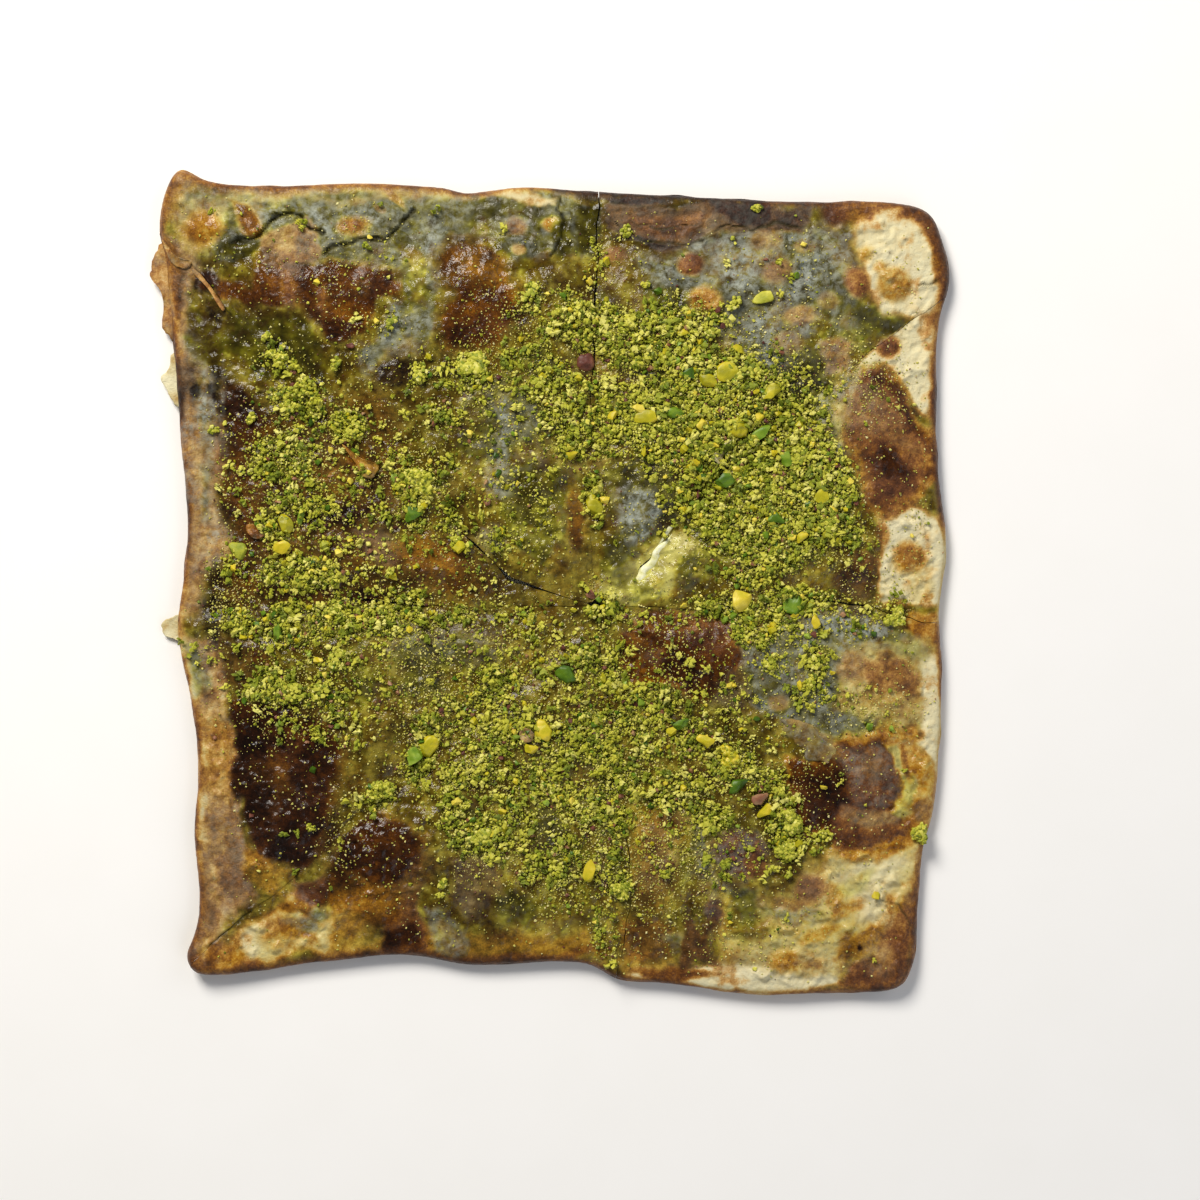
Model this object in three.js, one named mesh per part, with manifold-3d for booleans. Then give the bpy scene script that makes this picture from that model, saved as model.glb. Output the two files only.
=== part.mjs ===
// Katmer: thin yufka dough folded in a square round clotted cream and ground
// pistachio, fried until it blisters, cut in eight slices that still lie together,
// and strewn with chopped pistachio.
// Millimetres, +Z up, origin under the middle of the square on the surface it lies on.

import * as THREE from 'three';
import { mergeVertices } from 'three/addons/utils/BufferGeometryUtils.js';
import Module from 'manifold-3d';

const solids = await Module();
solids.setup();

// ---------------------------------------------------------------- driving dimensions

const CROWN_HEIGHT = 11; // top of a slice, away from its edges
const RIM_HEIGHT = 6.5; // top of the folded outer edge
const RIM_RISE = 46; // how far in the top climbs from rim to crown
const ROLL_RADIUS = 3.4; // rounding of the folded outer edge
const ROLL_MIDDLE = 2.9; // height of the outermost line of the fold
const ROLL_FLAT = 0.8; // half the height of the fold's outermost band
const CUT_PRESS = 2.6; // how far the knife pressed the top down beside a cut
const CUT_PRESS_REACH = 9; // how far from the cut the pressing shows
const TOP_SHEET = 1.9; // baked leaves over the filling
const BOTTOM_SHEET = 1.5; // baked leaves under the filling
const OUTER_FOLD = 10; // solid dough between the filling and the outer edge
const CLEARANCE = 0.3; // gap between pieces that touch
const SLIVER = 0.02; // edges and steps smaller than this are closed up after a cut
const TIP_START = 2.2; // distance of a slice's blunt tip from the middle of the cuts
const FILLING_START = 9; // where the filling starts: nearer the tip the knife pinched it out
const LEAF_THICKNESS = 0.8; // a baked leaf that has come loose at the edge

// where the cuts cross
const MIDDLE = new THREE.Vector2(17, -8);

// the square's outline, clockwise from its north-west tip; KEY marks the corners and
// steps that a facet's edge has to meet
const KEY = true;
const OUTLINE = [
  [-136.5, 152.8, KEY], [-127, 149.3], [-108, 147.6], [-70, 148.7], [-40, 147], [-30, 145, KEY],
  [-10, 147.3], [18, 145.6], [50, 144], [90, 141.8], [128, 141.4],
  [140.5, 137.5, KEY], [145.2, 128.5], [148.6, 113, KEY],
  [144.8, 97], [143.8, 60], [145.5, 32], [147.5, 16, KEY], [144.8, -14], [145.8, -30],
  [145.2, -58], [142.5, -84], [138.5, -101], [136.8, -122],
  [134.5, -142.5, KEY], [129, -150, KEY],
  [106, -151.8], [80, -152.8, KEY], [42, -148.4], [26, -146.8], [14, -141.2, KEY], [-30, -141.4],
  [-51, -138, KEY], [-86, -140.8], [-118, -145],
  [-131, -144, KEY], [-134, -139.5],
  [-130, -123], [-131.8, -90], [-130.2, -71], [-132.8, -45], [-138, -18], [-136, 2],
  [-134.2, 22], [-137, 55], [-139.2, 85], [-142, 118], [-144.4, 133, KEY], [-141.5, 146],
];

// the cuts, each from MIDDLE outwards to past the edge, clockwise from north
const CUTS = [
  { gap: 1.2, path: [[15.5, 20], [15.5, 60], [17, 100], [18.6, 165]] },
  { gap: 1.0, path: [[37, 9], [47, 22], [75, 49], [102, 73], [132, 96], [168, 120]] },
  { gap: 1.2, path: [[60, -10], [100, -6], [119, -8.5], [132, -12.5], [168, -20]] },
  { gap: 0.6, path: [[37, -31], [57, -54], [93, -92], [123, -117], [152, -147]] },
  { gap: 0.9, path: [[24, -60], [28, -88], [31, -118], [24.5, -147], [20, -170]] },
  { gap: 1.0, path: [[-13, -34], [-62, -81], [-96, -111], [-121, -130], [-158, -165]] },
  { gap: 1.0, path: [[-30, -9], [-70, -6.5], [-125, -15], [-168, -26]] },
  { gap: 1.4, path: [[-14, 1.5], [-28, 15], [-120, 102], [-143, 128], [-168, 156]] },
];
const SLICE_NAMES = ['nne', 'ene', 'ese', 'sse', 'ssw', 'wsw', 'wnw', 'nnw'];

// corners that curled up off the pan
const CURLS = [
  { at: [-138, 150], reach: 46, lift: 4.6 },
  { at: [-134, -142], reach: 34, lift: 2.8 },
  { at: [146, 132], reach: 30, lift: 1.6 },
  { at: [134, -148], reach: 30, lift: 1.8 },
];

// broad blisters (rise above the crown) and hollows (a rise below zero)
const BLISTERS = [
  { at: [122, 52], size: [22, 28], rise: 2.2 },
  { at: [116, -76], size: [24, 22], rise: 2.4 },
  { at: [-84, 110], size: [26, 15], rise: 1.3 },
  { at: [-24, 104], size: [17, 20], rise: 1.2 },
  { at: [44, -30], size: [20, 13], rise: 1.2 },
  { at: [-97, -80], size: [18, 30], rise: -1.8 },
  { at: [-66, -100], size: [13, 13], rise: 1.4 },
];

// the tear in the top leaves beside the middle, where the cream shows
const TEAR = [[33, 1], [37.5, 6.5], [41.4, 12.2], [45.8, 20], [46.5, 25], [43.5, 25],
  [40.5, 18], [36.5, 11.5], [33, 5]];

// loose leaves that stand out of the west edge: [how far along y, how far out in x]
const LOOSE_LEAVES = [
  { slice: 'wnw', height: 3.4, edge: [[90, -140.5], [94, -144], [103, -143.4], [109, -145],
    [114, -148.6], [118.5, -148.2]] },
  { slice: 'wnw', height: 2.6, edge: [[66, -139], [76, -144], [86, -140.5]] },
];
const LEAF_ROOT = 4; // how far a loose leaf runs back into the fold

// chopped pistachio as large as berries: place, size in plan, height and turn
const KERNELS = [
  { at: [35.5, 61.5], size: [9.5, 5.2], tall: 3.8, turn: 10, skin: 'yellow' },
  { at: [46, 63], size: [9, 4.6], tall: 3.4, turn: -12, skin: 'green' },
  { at: [66, 78], size: [9, 7.6], tall: 4.6, turn: 35, skin: 'lime' },
  { at: [58.5, 75], size: [8, 5], tall: 3.6, turn: -20, skin: 'yellow' },
  { at: [70, 57.5], size: [8, 7.6], tall: 4.4, turn: 50, skin: 'yellow' },
  { at: [13.5, 82], size: [7.2, 7], tall: 4.6, turn: 0, skin: 'purple' },
  { at: [79, 105.5], size: [9, 4.4], tall: 3.4, turn: 20, skin: 'lime' },
  { at: [17, 29], size: [7, 9], tall: 4.2, turn: 15, skin: 'lime' },
  { at: [90.3, -7.6], size: [9, 8], tall: 4.6, turn: 25, skin: 'green' },
  { at: [6.2, -33.3], size: [8.5, 6.6], tall: 4.2, turn: -15, skin: 'green' },
  { at: [-2, -54], size: [6.8, 8.6], tall: 4.2, turn: -10, skin: 'yellow' },
  { at: [-44.5, -60], size: [7.6, 9], tall: 4, turn: -30, skin: 'yellow' },
  { at: [70, -75], size: [9.4, 4.6], tall: 3.4, turn: 35, skin: 'green' },
  { at: [-97, 22], size: [6.4, 7.4], tall: 4.2, turn: 20, skin: 'yellow' },
  { at: [-115, 12], size: [8, 7], tall: 3.6, turn: -25, skin: 'lime' },
];

// kernels stuck together in clumps: each clump is three lobes joined
const CLUMPS = [
  { at: [-48, 38], size: [14, 11], tall: 5.2, turn: -10, skin: 'lime' },
  { at: [-28, 80], size: [13, 11], tall: 4.2, turn: 30, skin: 'lime' },
  { at: [-61, -76], size: [10, 7.6], tall: 4.2, turn: -15, skin: 'lime' },
  { at: [-25, -94], size: [11, 6.8], tall: 4.2, turn: 20, skin: 'lime' },
  { at: [89, -88], size: [11, 8], tall: 5, turn: -55, skin: 'lime' },
  { at: [87.5, -99], size: [9.4, 8], tall: 4.6, turn: 15, skin: 'lime' },
  { at: [66, -64], size: [11, 7.6], tall: 4.8, turn: -50, skin: 'yellow' },
  { at: [26, -114], size: [9, 7.4], tall: 4.8, turn: 0, skin: 'lime' },
  { at: [128, -13], size: [9.4, 7.6], tall: 4.8, turn: 30, skin: 'lime' },
  { at: [-100.4, 83.2], size: [9, 6.6], tall: 4, turn: -20, skin: 'lime' },
  { at: [137, -93], size: [6.4, 8], tall: 4, turn: 10, skin: 'lime' },
];
const KERNEL_SINK = 0.3; // share of a kernel's height that the surface trims away

// ---------------------------------------------------------------- materials

function matte(name, color, roughness) {
  return new THREE.MeshStandardMaterial({ name, color, roughness, metalness: 0 });
}

const BAKED_DOUGH = matte('baked_dough', '#8a5a26', 0.45);
const CREAM = matte('cream_filling', '#cfd08a', 0.5);
const NUT = {
  lime: matte('pistachio_lime', '#9aa82e', 0.6),
  yellow: matte('pistachio_yellow', '#c9b62c', 0.5),
  green: matte('pistachio_green', '#4f7a1e', 0.5),
  purple: matte('pistachio_purple', '#6b2f36', 0.5),
};

// ---------------------------------------------------------------- curves in plan

const toVector3 = ([x, y]) => new THREE.Vector3(x, y, 0);
const outlineCurve = new THREE.CatmullRomCurve3(OUTLINE.map(toVector3), true, 'centripetal');
const OUTLINE_STEPS = 1200;
const outlinePoints = outlineCurve.getSpacedPoints(OUTLINE_STEPS);

function nearestStep(x, y) {
  const away = outlinePoints.map((point) => Math.hypot(point.x - x, point.y - y));
  return away.indexOf(Math.min(...away));
}

// each cut runs on straight stretches between its points
const cutPaths = CUTS.map(({ path }) => {
  const route = new THREE.CurvePath();
  const points = [[MIDDLE.x, MIDDLE.y], ...path].map(([x, y]) => new THREE.Vector2(x, y));
  points.slice(1).forEach((point, i) => route.add(new THREE.LineCurve(points[i], point)));
  return route;
});

function distanceToSegment(x, y, a, b) {
  const along = new THREE.Vector2().subVectors(b, a);
  const from = new THREE.Vector2(x - a.x, y - a.y);
  const share = THREE.MathUtils.clamp(from.dot(along) / along.lengthSq(), 0, 1);
  return from.addScaledVector(along, -share).length();
}

function distanceToCuts(x, y) {
  const lines = cutPaths.flatMap((route) => route.curves);
  return Math.min(...lines.map((line) => distanceToSegment(x, y, line.v1, line.v2)));
}

// the share of the cut's length at which it leaves the square, and the outline step there
function whereCutLeaves(route) {
  const trials = 600;
  let best = { gap: Infinity };
  for (let i = trials / 2; i <= trials; i += 1) {
    const point = route.getPointAt(i / trials);
    outlinePoints.forEach((edge, step) => {
      const gap = Math.hypot(edge.x - point.x, edge.y - point.y);
      if (gap < best.gap) best = { gap, share: i / trials, step };
    });
  }
  return best;
}

const exits = cutPaths.map(whereCutLeaves);

// ---------------------------------------------------------------- plan of one slice

const ROWS = [0.2, 0.4, 0.6, 0.79]; // along the slice, as shares of its length
const EDGE_ROWS = [OUTER_FOLD + 4, 6, 3, 1.1, 0]; // then as distances in from the outer edge
const COLUMNS = [0, 0.06, 0.27, 0.5, 0.73, 0.94, 1]; // across the slice, between the cuts
const KEY_REACH = 0.07; // a column this near a key point moves onto it

// a point of the cut beside a slice, moved half the knife gap into the slice
function besideCut(cut, share, gapShare, side) {
  const along = share * exits[cut].share;
  const point = cutPaths[cut].getPointAt(along);
  const run = cutPaths[cut].getTangentAt(along);
  const half = (CUTS[cut].gap / 2) * gapShare * side;
  return new THREE.Vector2(point.x + run.y * half, point.y - run.x * half);
}

const stepsClockwise = (from, to) => (to - from + OUTLINE_STEPS) % OUTLINE_STEPS;

function outlineBetween(first, second, share) {
  const steps = stepsClockwise(exits[first].step, exits[second].step);
  const place = (exits[first].step + steps * share) % OUTLINE_STEPS;
  const low = outlinePoints[Math.floor(place)];
  const high = outlinePoints[Math.ceil(place) % OUTLINE_STEPS];
  return low.clone().lerp(high, place - Math.floor(place));
}

// the shares across a slice at which its columns run, moved onto the outline's key points
function columnsOf(slice, next) {
  const span = stepsClockwise(exits[slice].step, exits[next].step);
  const keys = OUTLINE.filter(([, , key]) => key)
    .map(([x, y]) => stepsClockwise(exits[slice].step, nearestStep(x, y)) / span)
    .filter((share) => share > 0 && share < 1);
  const clear = COLUMNS.filter((share) => share % 1 === 0
    || keys.every((key) => Math.abs(key - share) > KEY_REACH));
  return [...clear, ...keys].sort((one, other) => one - other);
}

// The slice between a cut and the next one clockwise, as rows of points from its tip to
// the outer edge. Each row is a straight line across, bowed out as it nears the edge so
// that the last row is the outline itself. gapShare is 1 for a slice that leaves half the
// knife gap on each side, 0 for one that leaves none, and -1 for what runs on past the cuts.
function slicePlan(slice, gapShare, start = TIP_START, edgeRows = EDGE_ROWS) {
  const next = (slice + 1) % CUTS.length;
  const length = MIDDLE.distanceTo(outlineBetween(slice, next, 0.5));
  const shares = [start / length, ...ROWS, ...edgeRows.map((inset) => 1 - inset / length)];
  const columns = columnsOf(slice, next);
  const outerA = besideCut(slice, 1, gapShare, 1);
  const outerB = besideCut(next, 1, gapShare, -1);
  return shares.map((share) => {
    const a = besideCut(slice, share, gapShare, 1);
    const b = besideCut(next, share, gapShare, -1);
    return columns.map((across) => {
      const point = a.clone().lerp(b, across);
      const edge = outlineBetween(slice, next, across);
      const bow = new THREE.Vector2(edge.x, edge.y).sub(outerA.clone().lerp(outerB, across));
      point.addScaledVector(bow, across % 1 ? share ** 2 : 0);
      return { x: point.x, y: point.y, inset: (1 - share) * length };
    });
  });
}

// ---------------------------------------------------------------- heights

const bump = (x, y, [cx, cy], [rx, ry]) => Math.exp(-(((x - cx) / rx) ** 2) - ((y - cy) / ry) ** 2);

function curlLift(x, y) {
  return CURLS.reduce((sum, { at, reach, lift }) => {
    const nearness = Math.max(0, 1 - Math.hypot(x - at[0], y - at[1]) / reach);
    return sum + lift * nearness ** 2;
  }, 0);
}

// a quarter circle's rise, 0 at the outer edge and 1 where the rounding ends
function roll(inset) {
  const inward = Math.min(1, inset / ROLL_RADIUS);
  return Math.sqrt(1 - (1 - inward) ** 2);
}

function topHeight({ x, y, inset }) {
  const edge = ROLL_MIDDLE + ROLL_FLAT;
  const rim = edge + (RIM_HEIGHT - edge) * roll(inset);
  const climb = THREE.MathUtils.smoothstep(inset, 0, RIM_RISE);
  const pressed = CUT_PRESS * Math.exp(-((distanceToCuts(x, y) / CUT_PRESS_REACH) ** 2));
  const swell = BLISTERS.reduce((sum, b) => sum + b.rise * bump(x, y, b.at, b.size), 0);
  const crown = CROWN_HEIGHT - RIM_HEIGHT - pressed;
  return rim + crown * climb + swell * Math.min(1, inset / RIM_RISE + 0.2) * roll(inset) + curlLift(x, y);
}

function bottomHeight({ x, y, inset }) {
  return (ROLL_MIDDLE - ROLL_FLAT) * (1 - roll(inset)) + curlLift(x, y);
}

// ---------------------------------------------------------------- closed solids

function solidFrom(geometry) {
  geometry.deleteAttribute('normal');
  geometry.deleteAttribute('uv');
  const merged = mergeVertices(geometry, 1e-4);
  return new solids.Manifold(new solids.Mesh({
    numProp: 3,
    vertProperties: merged.attributes.position.array,
    triVerts: new Uint32Array(merged.index.array),
  }));
}

function geometryFrom(solid) {
  const mesh = solid.simplify(SLIVER).getMesh();
  const geometry = new THREE.BufferGeometry();
  geometry.setAttribute('position', new THREE.BufferAttribute(mesh.vertProperties, 3));
  geometry.setIndex(new THREE.BufferAttribute(mesh.triVerts, 1));
  geometry.computeVertexNormals();
  return geometry;
}

// a slab over a grid of plan points (rows run outwards, columns clockwise): a top skin,
// a bottom skin, and a wall all round that joins them
function slab(plan, top, bottom) {
  const rows = plan.length;
  const columns = plan[0].length;
  const positions = [];
  [top, bottom].forEach((height) => plan.flat().forEach((p) => positions.push(p.x, p.y, height(p))));
  const upper = (row, column) => row * columns + column;
  const lower = (row, column) => rows * columns + upper(row, column);
  const faces = [];
  for (let row = 0; row < rows - 1; row += 1) {
    for (let column = 0; column < columns - 1; column += 1) {
      const [a, b] = [upper(row, column), upper(row + 1, column)];
      const [c, d] = [upper(row + 1, column + 1), upper(row, column + 1)];
      faces.push(a, c, b, a, d, c);
      const drop = rows * columns;
      faces.push(a + drop, b + drop, c + drop, a + drop, c + drop, d + drop);
    }
  }
  const wall = (r0, c0, r1, c1) => faces.push(
    upper(r0, c0), upper(r1, c1), lower(r0, c0), lower(r0, c0), upper(r1, c1), lower(r1, c1),
  );
  for (let row = 0; row < rows - 1; row += 1) {
    wall(row, 0, row + 1, 0);
    wall(row + 1, columns - 1, row, columns - 1);
  }
  for (let column = 0; column < columns - 1; column += 1) {
    wall(0, column + 1, 0, column);
    wall(rows - 1, column, rows - 1, column + 1);
  }
  const geometry = new THREE.BufferGeometry();
  geometry.setAttribute('position', new THREE.Float32BufferAttribute(positions, 3));
  geometry.setIndex(faces);
  return solidFrom(geometry);
}

// a straight prism on a plan outline
function prism(points, low, high) {
  const shape = new THREE.Shape(points.map(([x, y]) => new THREE.Vector2(x, y)));
  const geometry = new THREE.ExtrudeGeometry(shape, { depth: high - low, bevelEnabled: false });
  geometry.translate(0, 0, low);
  return solidFrom(geometry);
}

// ---------------------------------------------------------------- the slices

const POCKET_ROWS = [OUTER_FOLD + 6, OUTER_FOLD];
const FILLING_ROWS = POCKET_ROWS.map((inset) => inset + CLEARANCE);
const ABOVE_ALL = 40; // a height well over everything

// a loose leaf, from its root inside the fold to its ragged outer edge
function looseLeaf({ height, edge }) {
  const nearestEdge = (y) => outlinePoints.reduce((best, point) => (
    point.x < 0 && Math.abs(point.y - y) < Math.abs(best.y - y) ? point : best
  ));
  const root = edge.map(([y]) => ({ x: nearestEdge(y).x + LEAF_ROOT, y }));
  const rim = edge.map(([y, x]) => ({ x, y }));
  return slab([root, rim], () => height + LEAF_THICKNESS, () => height);
}

// the room for the filling, or the filling itself when it is drawn in by a clearance: it
// runs out past both cuts, so that the knife trims it with the dough
function fillingRoom(slice, edgeRows, clearance) {
  return slab(
    slicePlan(slice, -1, FILLING_START + clearance, edgeRows),
    (point) => topHeight(point) - TOP_SHEET - clearance,
    () => BOTTOM_SHEET + clearance,
  );
}

function sliceSolids(slice) {
  const name = SLICE_NAMES[slice];
  const body = slab(slicePlan(slice, 1), topHeight, bottomHeight);
  const cream = body.intersect(fillingRoom(slice, FILLING_ROWS, CLEARANCE));
  let yufka = body.subtract(fillingRoom(slice, POCKET_ROWS, 0));
  if (name === 'ene') yufka = yufka.subtract(prism(TEAR, BOTTOM_SHEET + 1, ABOVE_ALL));
  LOOSE_LEAVES.filter((leaf) => leaf.slice === name).forEach((leaf) => {
    yufka = yufka.add(looseLeaf(leaf));
  });
  return { yufka, cream };
}

// ---------------------------------------------------------------- chopped pistachio

const random = THREE.MathUtils.seededRandom;
const KNIFE_DEPTH = 0.38; // where the flat lies, as a share of the lobe's size
const UNEVEN = 0.24; // how far a lobe's sides wander, as a share of its size

// one chopped kernel: a ball with uneven sides and a flat where the knife went through
function kernelLobe(ball, [length, width], tall) {
  ball.deleteAttribute('normal');
  ball.deleteAttribute('uv');
  const lobe = mergeVertices(ball, 1e-4);
  const spots = lobe.attributes.position;
  const knife = new THREE.Vector3(random() - 0.5, random() - 0.5, 0.6).normalize();
  const spot = new THREE.Vector3();
  for (let i = 0; i < spots.count; i += 1) {
    spot.fromBufferAttribute(spots, i).multiplyScalar(1 + UNEVEN * (random() - 0.5));
    spot.addScaledVector(knife, -Math.max(0, spot.dot(knife) - KNIFE_DEPTH));
    spots.setXYZ(i, spot.x * length, spot.y * width, spot.z * tall);
  }
  return solidFrom(lobe);
}

// the lobes of a clump: place along and across it and size, as shares of the clump's
const CLUMP_LOBES = [
  { along: -0.2, across: 0.1, size: 0.62, tall: 1 },
  { along: 0.16, across: 0.16, size: 0.6, tall: 0.8 },
  { along: 0.12, across: -0.2, size: 0.56, tall: 0.7 },
];

function clumpSolid({ size: [length, width], tall }) {
  const lobes = CLUMP_LOBES.map((lobe) => kernelLobe(
    new THREE.OctahedronGeometry(0.5, 1),
    [length * lobe.size, width * lobe.size],
    tall * lobe.tall,
  ).translate([length * lobe.along, width * lobe.across, 0]));
  return lobes.reduce((joined, lobe) => joined.add(lobe));
}

const nearestInset = (x, y) => Math.min(...outlinePoints.map((p) => Math.hypot(p.x - x, p.y - y)));

// the slices with no knife gap, lifted by the clearance: what lies on top is trimmed by it
const ground = SLICE_NAMES
  .map((_, slice) => slab(slicePlan(slice, 0, SLIVER), topHeight, bottomHeight))
  .reduce((joined, slice) => joined.add(slice))
  .translate([0, 0, CLEARANCE]);

// turns a loose piece, sets it on the slices and trims its underside to fit them
function settle(piece, { at: [x, y], tall, turn }) {
  const rest = topHeight({ x, y, inset: nearestInset(x, y) });
  const lift = rest + tall * (0.5 - KERNEL_SINK);
  return piece.rotate([0, 0, turn]).translate([x, y, lift]).subtract(ground);
}

// ---------------------------------------------------------------- the whole

const katmer = new THREE.Group();

function addPiece(name, solid, material) {
  const mesh = new THREE.Mesh(geometryFrom(solid), material);
  mesh.name = name;
  katmer.add(mesh);
}

SLICE_NAMES.forEach((name, slice) => {
  const { yufka, cream } = sliceSolids(slice);
  addPiece(`yufka_${name}`, yufka, BAKED_DOUGH);
  addPiece(`cream_${name}`, cream, CREAM);
});

const twoDigits = (index) => String(index + 1).padStart(2, '0');
KERNELS.forEach((kernel, index) => {
  const lobe = kernelLobe(new THREE.IcosahedronGeometry(0.5, 1), kernel.size, kernel.tall);
  const solid = settle(lobe, kernel);
  addPiece(`kernel_${twoDigits(index)}`, solid, NUT[kernel.skin]);
});
CLUMPS.forEach((clump, index) => {
  addPiece(`clump_${twoDigits(index)}`, settle(clumpSolid(clump), clump), NUT[clump.skin]);
});

export default katmer;
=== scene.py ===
# %% [markdown]
# # A katmer, cut in eight
# Katmer is a fried pastry: a sheet of dough, called yufka, is pulled so thin that light comes
# through, folded in a square round clotted cream and ground pistachio, and fried in butter
# until it blisters and browns. Then it is cut in eight and strewn with more pistachio.
#
# Nearly all of what the eye sees is one skin: how high it stands, how much heat each place
# got, how much butter it drank, and what shows through it. So this lesson first draws those
# things as maps in plan, then builds the slices from the maps, and last strews the nuts.
# The measured solids come from the frame, and the looks are built over them.

import math
import time
from types import SimpleNamespace

import bmesh
import bpy
import numpy as np
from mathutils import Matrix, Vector


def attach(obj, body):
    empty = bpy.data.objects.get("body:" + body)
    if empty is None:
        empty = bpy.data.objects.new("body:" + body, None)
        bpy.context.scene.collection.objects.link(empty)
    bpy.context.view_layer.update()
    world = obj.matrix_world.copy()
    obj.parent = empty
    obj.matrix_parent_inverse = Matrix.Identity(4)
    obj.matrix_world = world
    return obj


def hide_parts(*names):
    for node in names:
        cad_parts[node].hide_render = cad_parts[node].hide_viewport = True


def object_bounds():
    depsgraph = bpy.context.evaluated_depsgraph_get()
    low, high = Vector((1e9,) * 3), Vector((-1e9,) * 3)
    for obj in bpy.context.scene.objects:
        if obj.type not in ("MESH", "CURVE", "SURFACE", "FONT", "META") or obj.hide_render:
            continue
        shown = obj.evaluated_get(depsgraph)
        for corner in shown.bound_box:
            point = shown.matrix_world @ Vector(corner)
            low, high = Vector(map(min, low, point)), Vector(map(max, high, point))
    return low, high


started = time.time()
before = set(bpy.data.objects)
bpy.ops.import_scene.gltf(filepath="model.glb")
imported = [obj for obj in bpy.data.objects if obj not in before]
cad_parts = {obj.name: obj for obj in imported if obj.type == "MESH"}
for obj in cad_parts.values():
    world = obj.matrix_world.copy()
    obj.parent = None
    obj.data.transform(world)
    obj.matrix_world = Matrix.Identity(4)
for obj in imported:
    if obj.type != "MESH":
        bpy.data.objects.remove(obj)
cad_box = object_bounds()
MM = 0.001  # the frame is in metres, and a pastry is easier to think about in millimetres
box_low, box_high = (np.array(corner) / MM for corner in cad_box)


def since_start():
    return f"{time.time() - started:.1f} s"


print("the katmer's box, mm:", box_low.round(1), box_high.round(1))

# %% [markdown]
# ## Uneven things come from noise
# Dough, butter and heat are uneven at several sizes at once. Blender's shader noise can't
# move vertices, so this is a small noise of our own: random numbers at the corners of a
# square lattice, blended smoothly between them. The numbers come from multiplying and
# mixing the lattice place, so the same place always gives the same number, on every run.

# %% Noise
HASH_STEPS = (374761393, 668265263, 974634777, 1274126177)
WORD = 0xFFFFFFFF  # the mixing is done in 32-bit whole numbers


def lattice_random(column, row, seed):
    """A number from 0 to 1 for each lattice corner, always the same for the same corner."""
    mixed = (column * HASH_STEPS[0] + row * HASH_STEPS[1] + seed * HASH_STEPS[2]) & WORD
    mixed = ((mixed ^ (mixed >> 13)) * HASH_STEPS[3]) & WORD
    return (mixed ^ (mixed >> 16)) / WORD


def noise(x, y, size, seed=0):
    """Smooth noise from -1 to 1 whose lumps are about `size` mm across."""
    across, along = np.asarray(x) / size, np.asarray(y) / size
    column, row = np.floor(across).astype(np.int64), np.floor(along).astype(np.int64)
    u, v = across - column, along - row
    u, v = u * u * (3 - 2 * u), v * v * (3 - 2 * v)
    low, high = (lattice_random(column, line, seed) * (1 - u)
                 + lattice_random(column + 1, line, seed) * u for line in (row, row + 1))
    return 2 * (low * (1 - v) + high * v) - 1


def rough(x, y, size, seed=0, octaves=4):
    """Noise with finer noise on it: each octave is half as large and half as strong."""
    turned = [(0.8 * x - 0.6 * y, 0.6 * x + 0.8 * y) if k % 2 else (x, y) for k in range(octaves)]
    leaf_edges_in_painted_shade = [noise(*turned[k], size / 2**k, seed + k) / 2**k for k in range(octaves)]
    return sum(leaf_edges_in_painted_shade) / (2 - 2 ** (1 - octaves))


def smooth(value, low, high):
    """0 below low, 1 above high, and an even curve between."""
    share = np.clip((value - low) / (high - low), 0, 1)
    return share * share * (3 - 2 * share)


def pressed_below(height, knee, ceiling):
    """Squeezes what rises above the knee, so nothing passes the ceiling or is cut flat."""
    room = ceiling - knee
    return np.where(height > knee, ceiling - room * np.exp((knee - height) / room), height)


print("noise at the middle:", noise(0.0, 0.0, 5.0), rough(3.0, 4.0, 20.0))

# %% [markdown]
# ## The square and the knife's cuts
# The outline and the cuts repeat the ones that the solids were made from, so that the
# looks sit exactly where the solids are. The outline is a smooth closed curve through a
# few dozen places. The three.js library calls it centripetal Catmull-Rom: it never loops
# back on itself, even where the places are unevenly spaced. Places and other rows of
# numbers are written as text all through this lesson, which keeps them short to read.

# %% Outline and cuts, in mm
def table(text):
    """A table of numbers: blanks part its rows, and commas the numbers in a row."""
    return np.array([[float(number) for number in row.split(",")] for row in text.split()])


OUTLINE = table("""
-136.5,152.8 -127,149.3 -108,147.6 -70,148.7 -40,147 -30,145 -10,147.3 18,145.6 50,144 90,141.8
128,141.4 140.5,137.5 145.2,128.5 148.6,113 144.8,97 143.8,60 145.5,32 147.5,16 144.8,-14 145.8,-30
145.2,-58 142.5,-84 138.5,-101 136.8,-122 134.5,-142.5 129,-150 106,-151.8 80,-152.8 42,-148.4
26,-146.8 14,-141.2 -30,-141.4 -51,-138 -86,-140.8 -118,-145 -131,-144 -134,-139.5 -130,-123
-131.8,-90 -130.2,-71 -132.8,-45 -138,-18 -136,2 -134.2,22 -137,55 -139.2,85 -142,118 -144.4,133
-141.5,146""")
MIDDLE = np.array((17.0, -8.0))
CUTS = {  # each cut's knife gap, and its way from the middle outwards, clockwise from north
    "nne": (1.2, "15.5,20 15.5,60 17,100 18.6,165"),
    "ene": (1.0, "37,9 47,22 75,49 102,73 132,96 168,120"),
    "ese": (1.2, "60,-10 100,-6 119,-8.5 132,-12.5 168,-20"),
    "sse": (0.6, "37,-31 57,-54 93,-92 123,-117 152,-147"),
    "ssw": (0.9, "24,-60 28,-88 31,-118 24.5,-147 20,-170"),
    "wsw": (1.0, "-13,-34 -62,-81 -96,-111 -121,-130 -158,-165"),
    "wnw": (1.0, "-30,-9 -70,-6.5 -125,-15 -168,-26"),
    "nnw": (1.4, "-14,1.5 -28,15 -120,102 -143,128 -168,156"),
}
SLICES = list(CUTS)  # a slice is named as the cut on its anticlockwise side
OUTLINE_STEPS = 1200


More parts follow.
